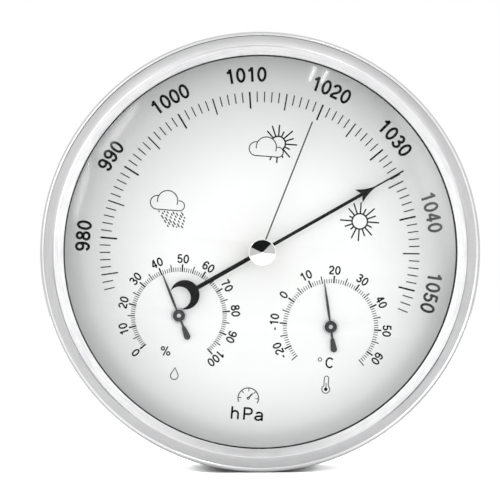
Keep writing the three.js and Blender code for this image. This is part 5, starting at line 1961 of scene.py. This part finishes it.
        # What the ring sees, by the side of the picture
        sideways, upward = self.shares(pen, pen.plus(x, self.back.x), pen.plus(z, self.back.z))
        aside = pen.math("ABSOLUTE", sideways)
        overhead = pen.cross(aside, self.overhead_edge, *self.overhead_light)
        below = pen.cross(aside, self.below_edge, *self.below_light)
        straight = pen.cross(upward, self.level_edge, below, overhead)
        high = pen.remap(upward, self.high_edge)
        low_side = pen.remap(polar, self.low_fall, self.low_light)
        high_side = pen.remap(polar, self.high_fall, self.high_light)
        outer = pen.blend(high, low_side, high_side)

        # From the camera's direction out to the rear
        near = pen.cross(polar, self.straight_end, straight, middle)
        front = pen.cross(polar, self.middle_end, near, pen.blend(soft_key, outer, self.key_light))
        rear = pen.cross(polar, self.rear_start, pen.blend(high, *self.rear_light), 1.0)
        light = pen.cross(polar, self.front_end, front, rear)
        strength = pen.blend(sight["Is Camera Ray"], light, 1.0)
        background = pen.made("ShaderNodeBackground", {"Color": (1.0, 1.0, 1.0, 1.0), "Strength": strength})
        pen.feed(pen.node("ShaderNodeOutputWorld").inputs["Surface"], background)

    def bounce(self, pixel: Point) -> tuple[Vector, Vector]:
        """Follows the camera's ray through a pixel to the glass and on to the lamps.

        Args:
            pixel: Place in the picture.

        Returns:
            Where a lamp hangs that shows at the pixel, in millimetres, and the way from the glass to it.
        """
        half = self.picture / 2
        across, upward = ((part * self.scale / self.distance) for part in (pixel[0] - half, half - pixel[1]))
        ray = (self.right * across + self.up * upward - self.back).normalized()
        curve, travelled = self.glass.curve, self.distance
        for _ in range(8):
            here = self.location + ray * travelled
            height = -here.y + curve * (here.x**2 + here.z**2) - self.glass.apex
            slope = -ray.y + 2 * curve * (here.x * ray.x + here.z * ray.z)
            travelled -= height / slope
        here = self.location + ray * travelled
        normal = Vector((2 * curve * here.x, -1.0, 2 * curve * here.z)).normalized()
        leaving = ray - normal * 2 * ray.dot(normal)
        return here + leaving * self.lamp_distance, leaving

    def place_streaks(self) -> None:
        """Hangs a narrow lamp where each streak on the glass looks, seen only in reflections."""
        for number, streak in enumerate(self.streaks, 1):
            start, end = Vector(streak.start), Vector(streak.end)
            run, middle = (end - start).normalized(), (start + end) / 2
            aside = Vector((-run.y, run.x)) * streak.width / 2
            ends = [self.bounce(pixel)[0] for pixel in (streak.start, streak.end)]
            sides = [self.bounce(tuple(middle + aside * way))[0] for way in (-1, 1)]
            place, leaving = self.bounce(tuple(middle))
            along = ends[1] - ends[0]
            data = bpy.data.lights.new(f"streak_lamp_{number}", "AREA")
            data.shape = "ELLIPSE" if streak.oval else "RECTANGLE"
            data.size, data.size_y = along.length * MM, (sides[1] - sides[0]).length * MM
            data.energy = streak.radiance * math.pi * data.size * data.size_y
            lamp = bpy.data.objects.new(data.name, data)
            first = (along - leaving * along.dot(leaving)).normalized()
            axes = Matrix((first, leaving.cross(first), leaving)).transposed()
            lamp.matrix_world = Matrix.Translation(place * MM) @ axes.to_4x4()
            lamp.visible_camera = lamp.visible_diffuse = lamp.visible_transmission = False
            bpy.context.scene.collection.objects.link(lamp)

    def build(self) -> None:
        """Makes the camera, floor and light."""
        self.place_camera()
        self.place_floor()
        self.light_world()
        self.place_streaks()
        bpy.context.scene.view_settings.view_transform = "Standard"


def write_sizes() -> None:
    """Brings the view layer up to date."""
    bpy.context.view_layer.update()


def main() -> None:
    """Builds the instrument's looks and its studio."""
    logging.basicConfig(level=logging.INFO, format="%(message)s")
    bench = Bench()
    glass = DomedGlass()
    RingCase(bench).build()
    glass.build()
    Dial(bench).build()
    BarometerHand(bench).build()
    SetHand(bench).build()
    SmallInstrument(bench, "hygro", Body.HYGRO, MOISTURE.angle(MOISTURE_READING)).build()
    SmallInstrument(bench, "thermo", Body.THERMO, WARMTH.angle(WARMTH_READING)).build()
    RearCover(bench).build()
    dress_inner_works(bench)
    Studio(glass).build()
    write_sizes()


if __name__ == "__main__":
    main()
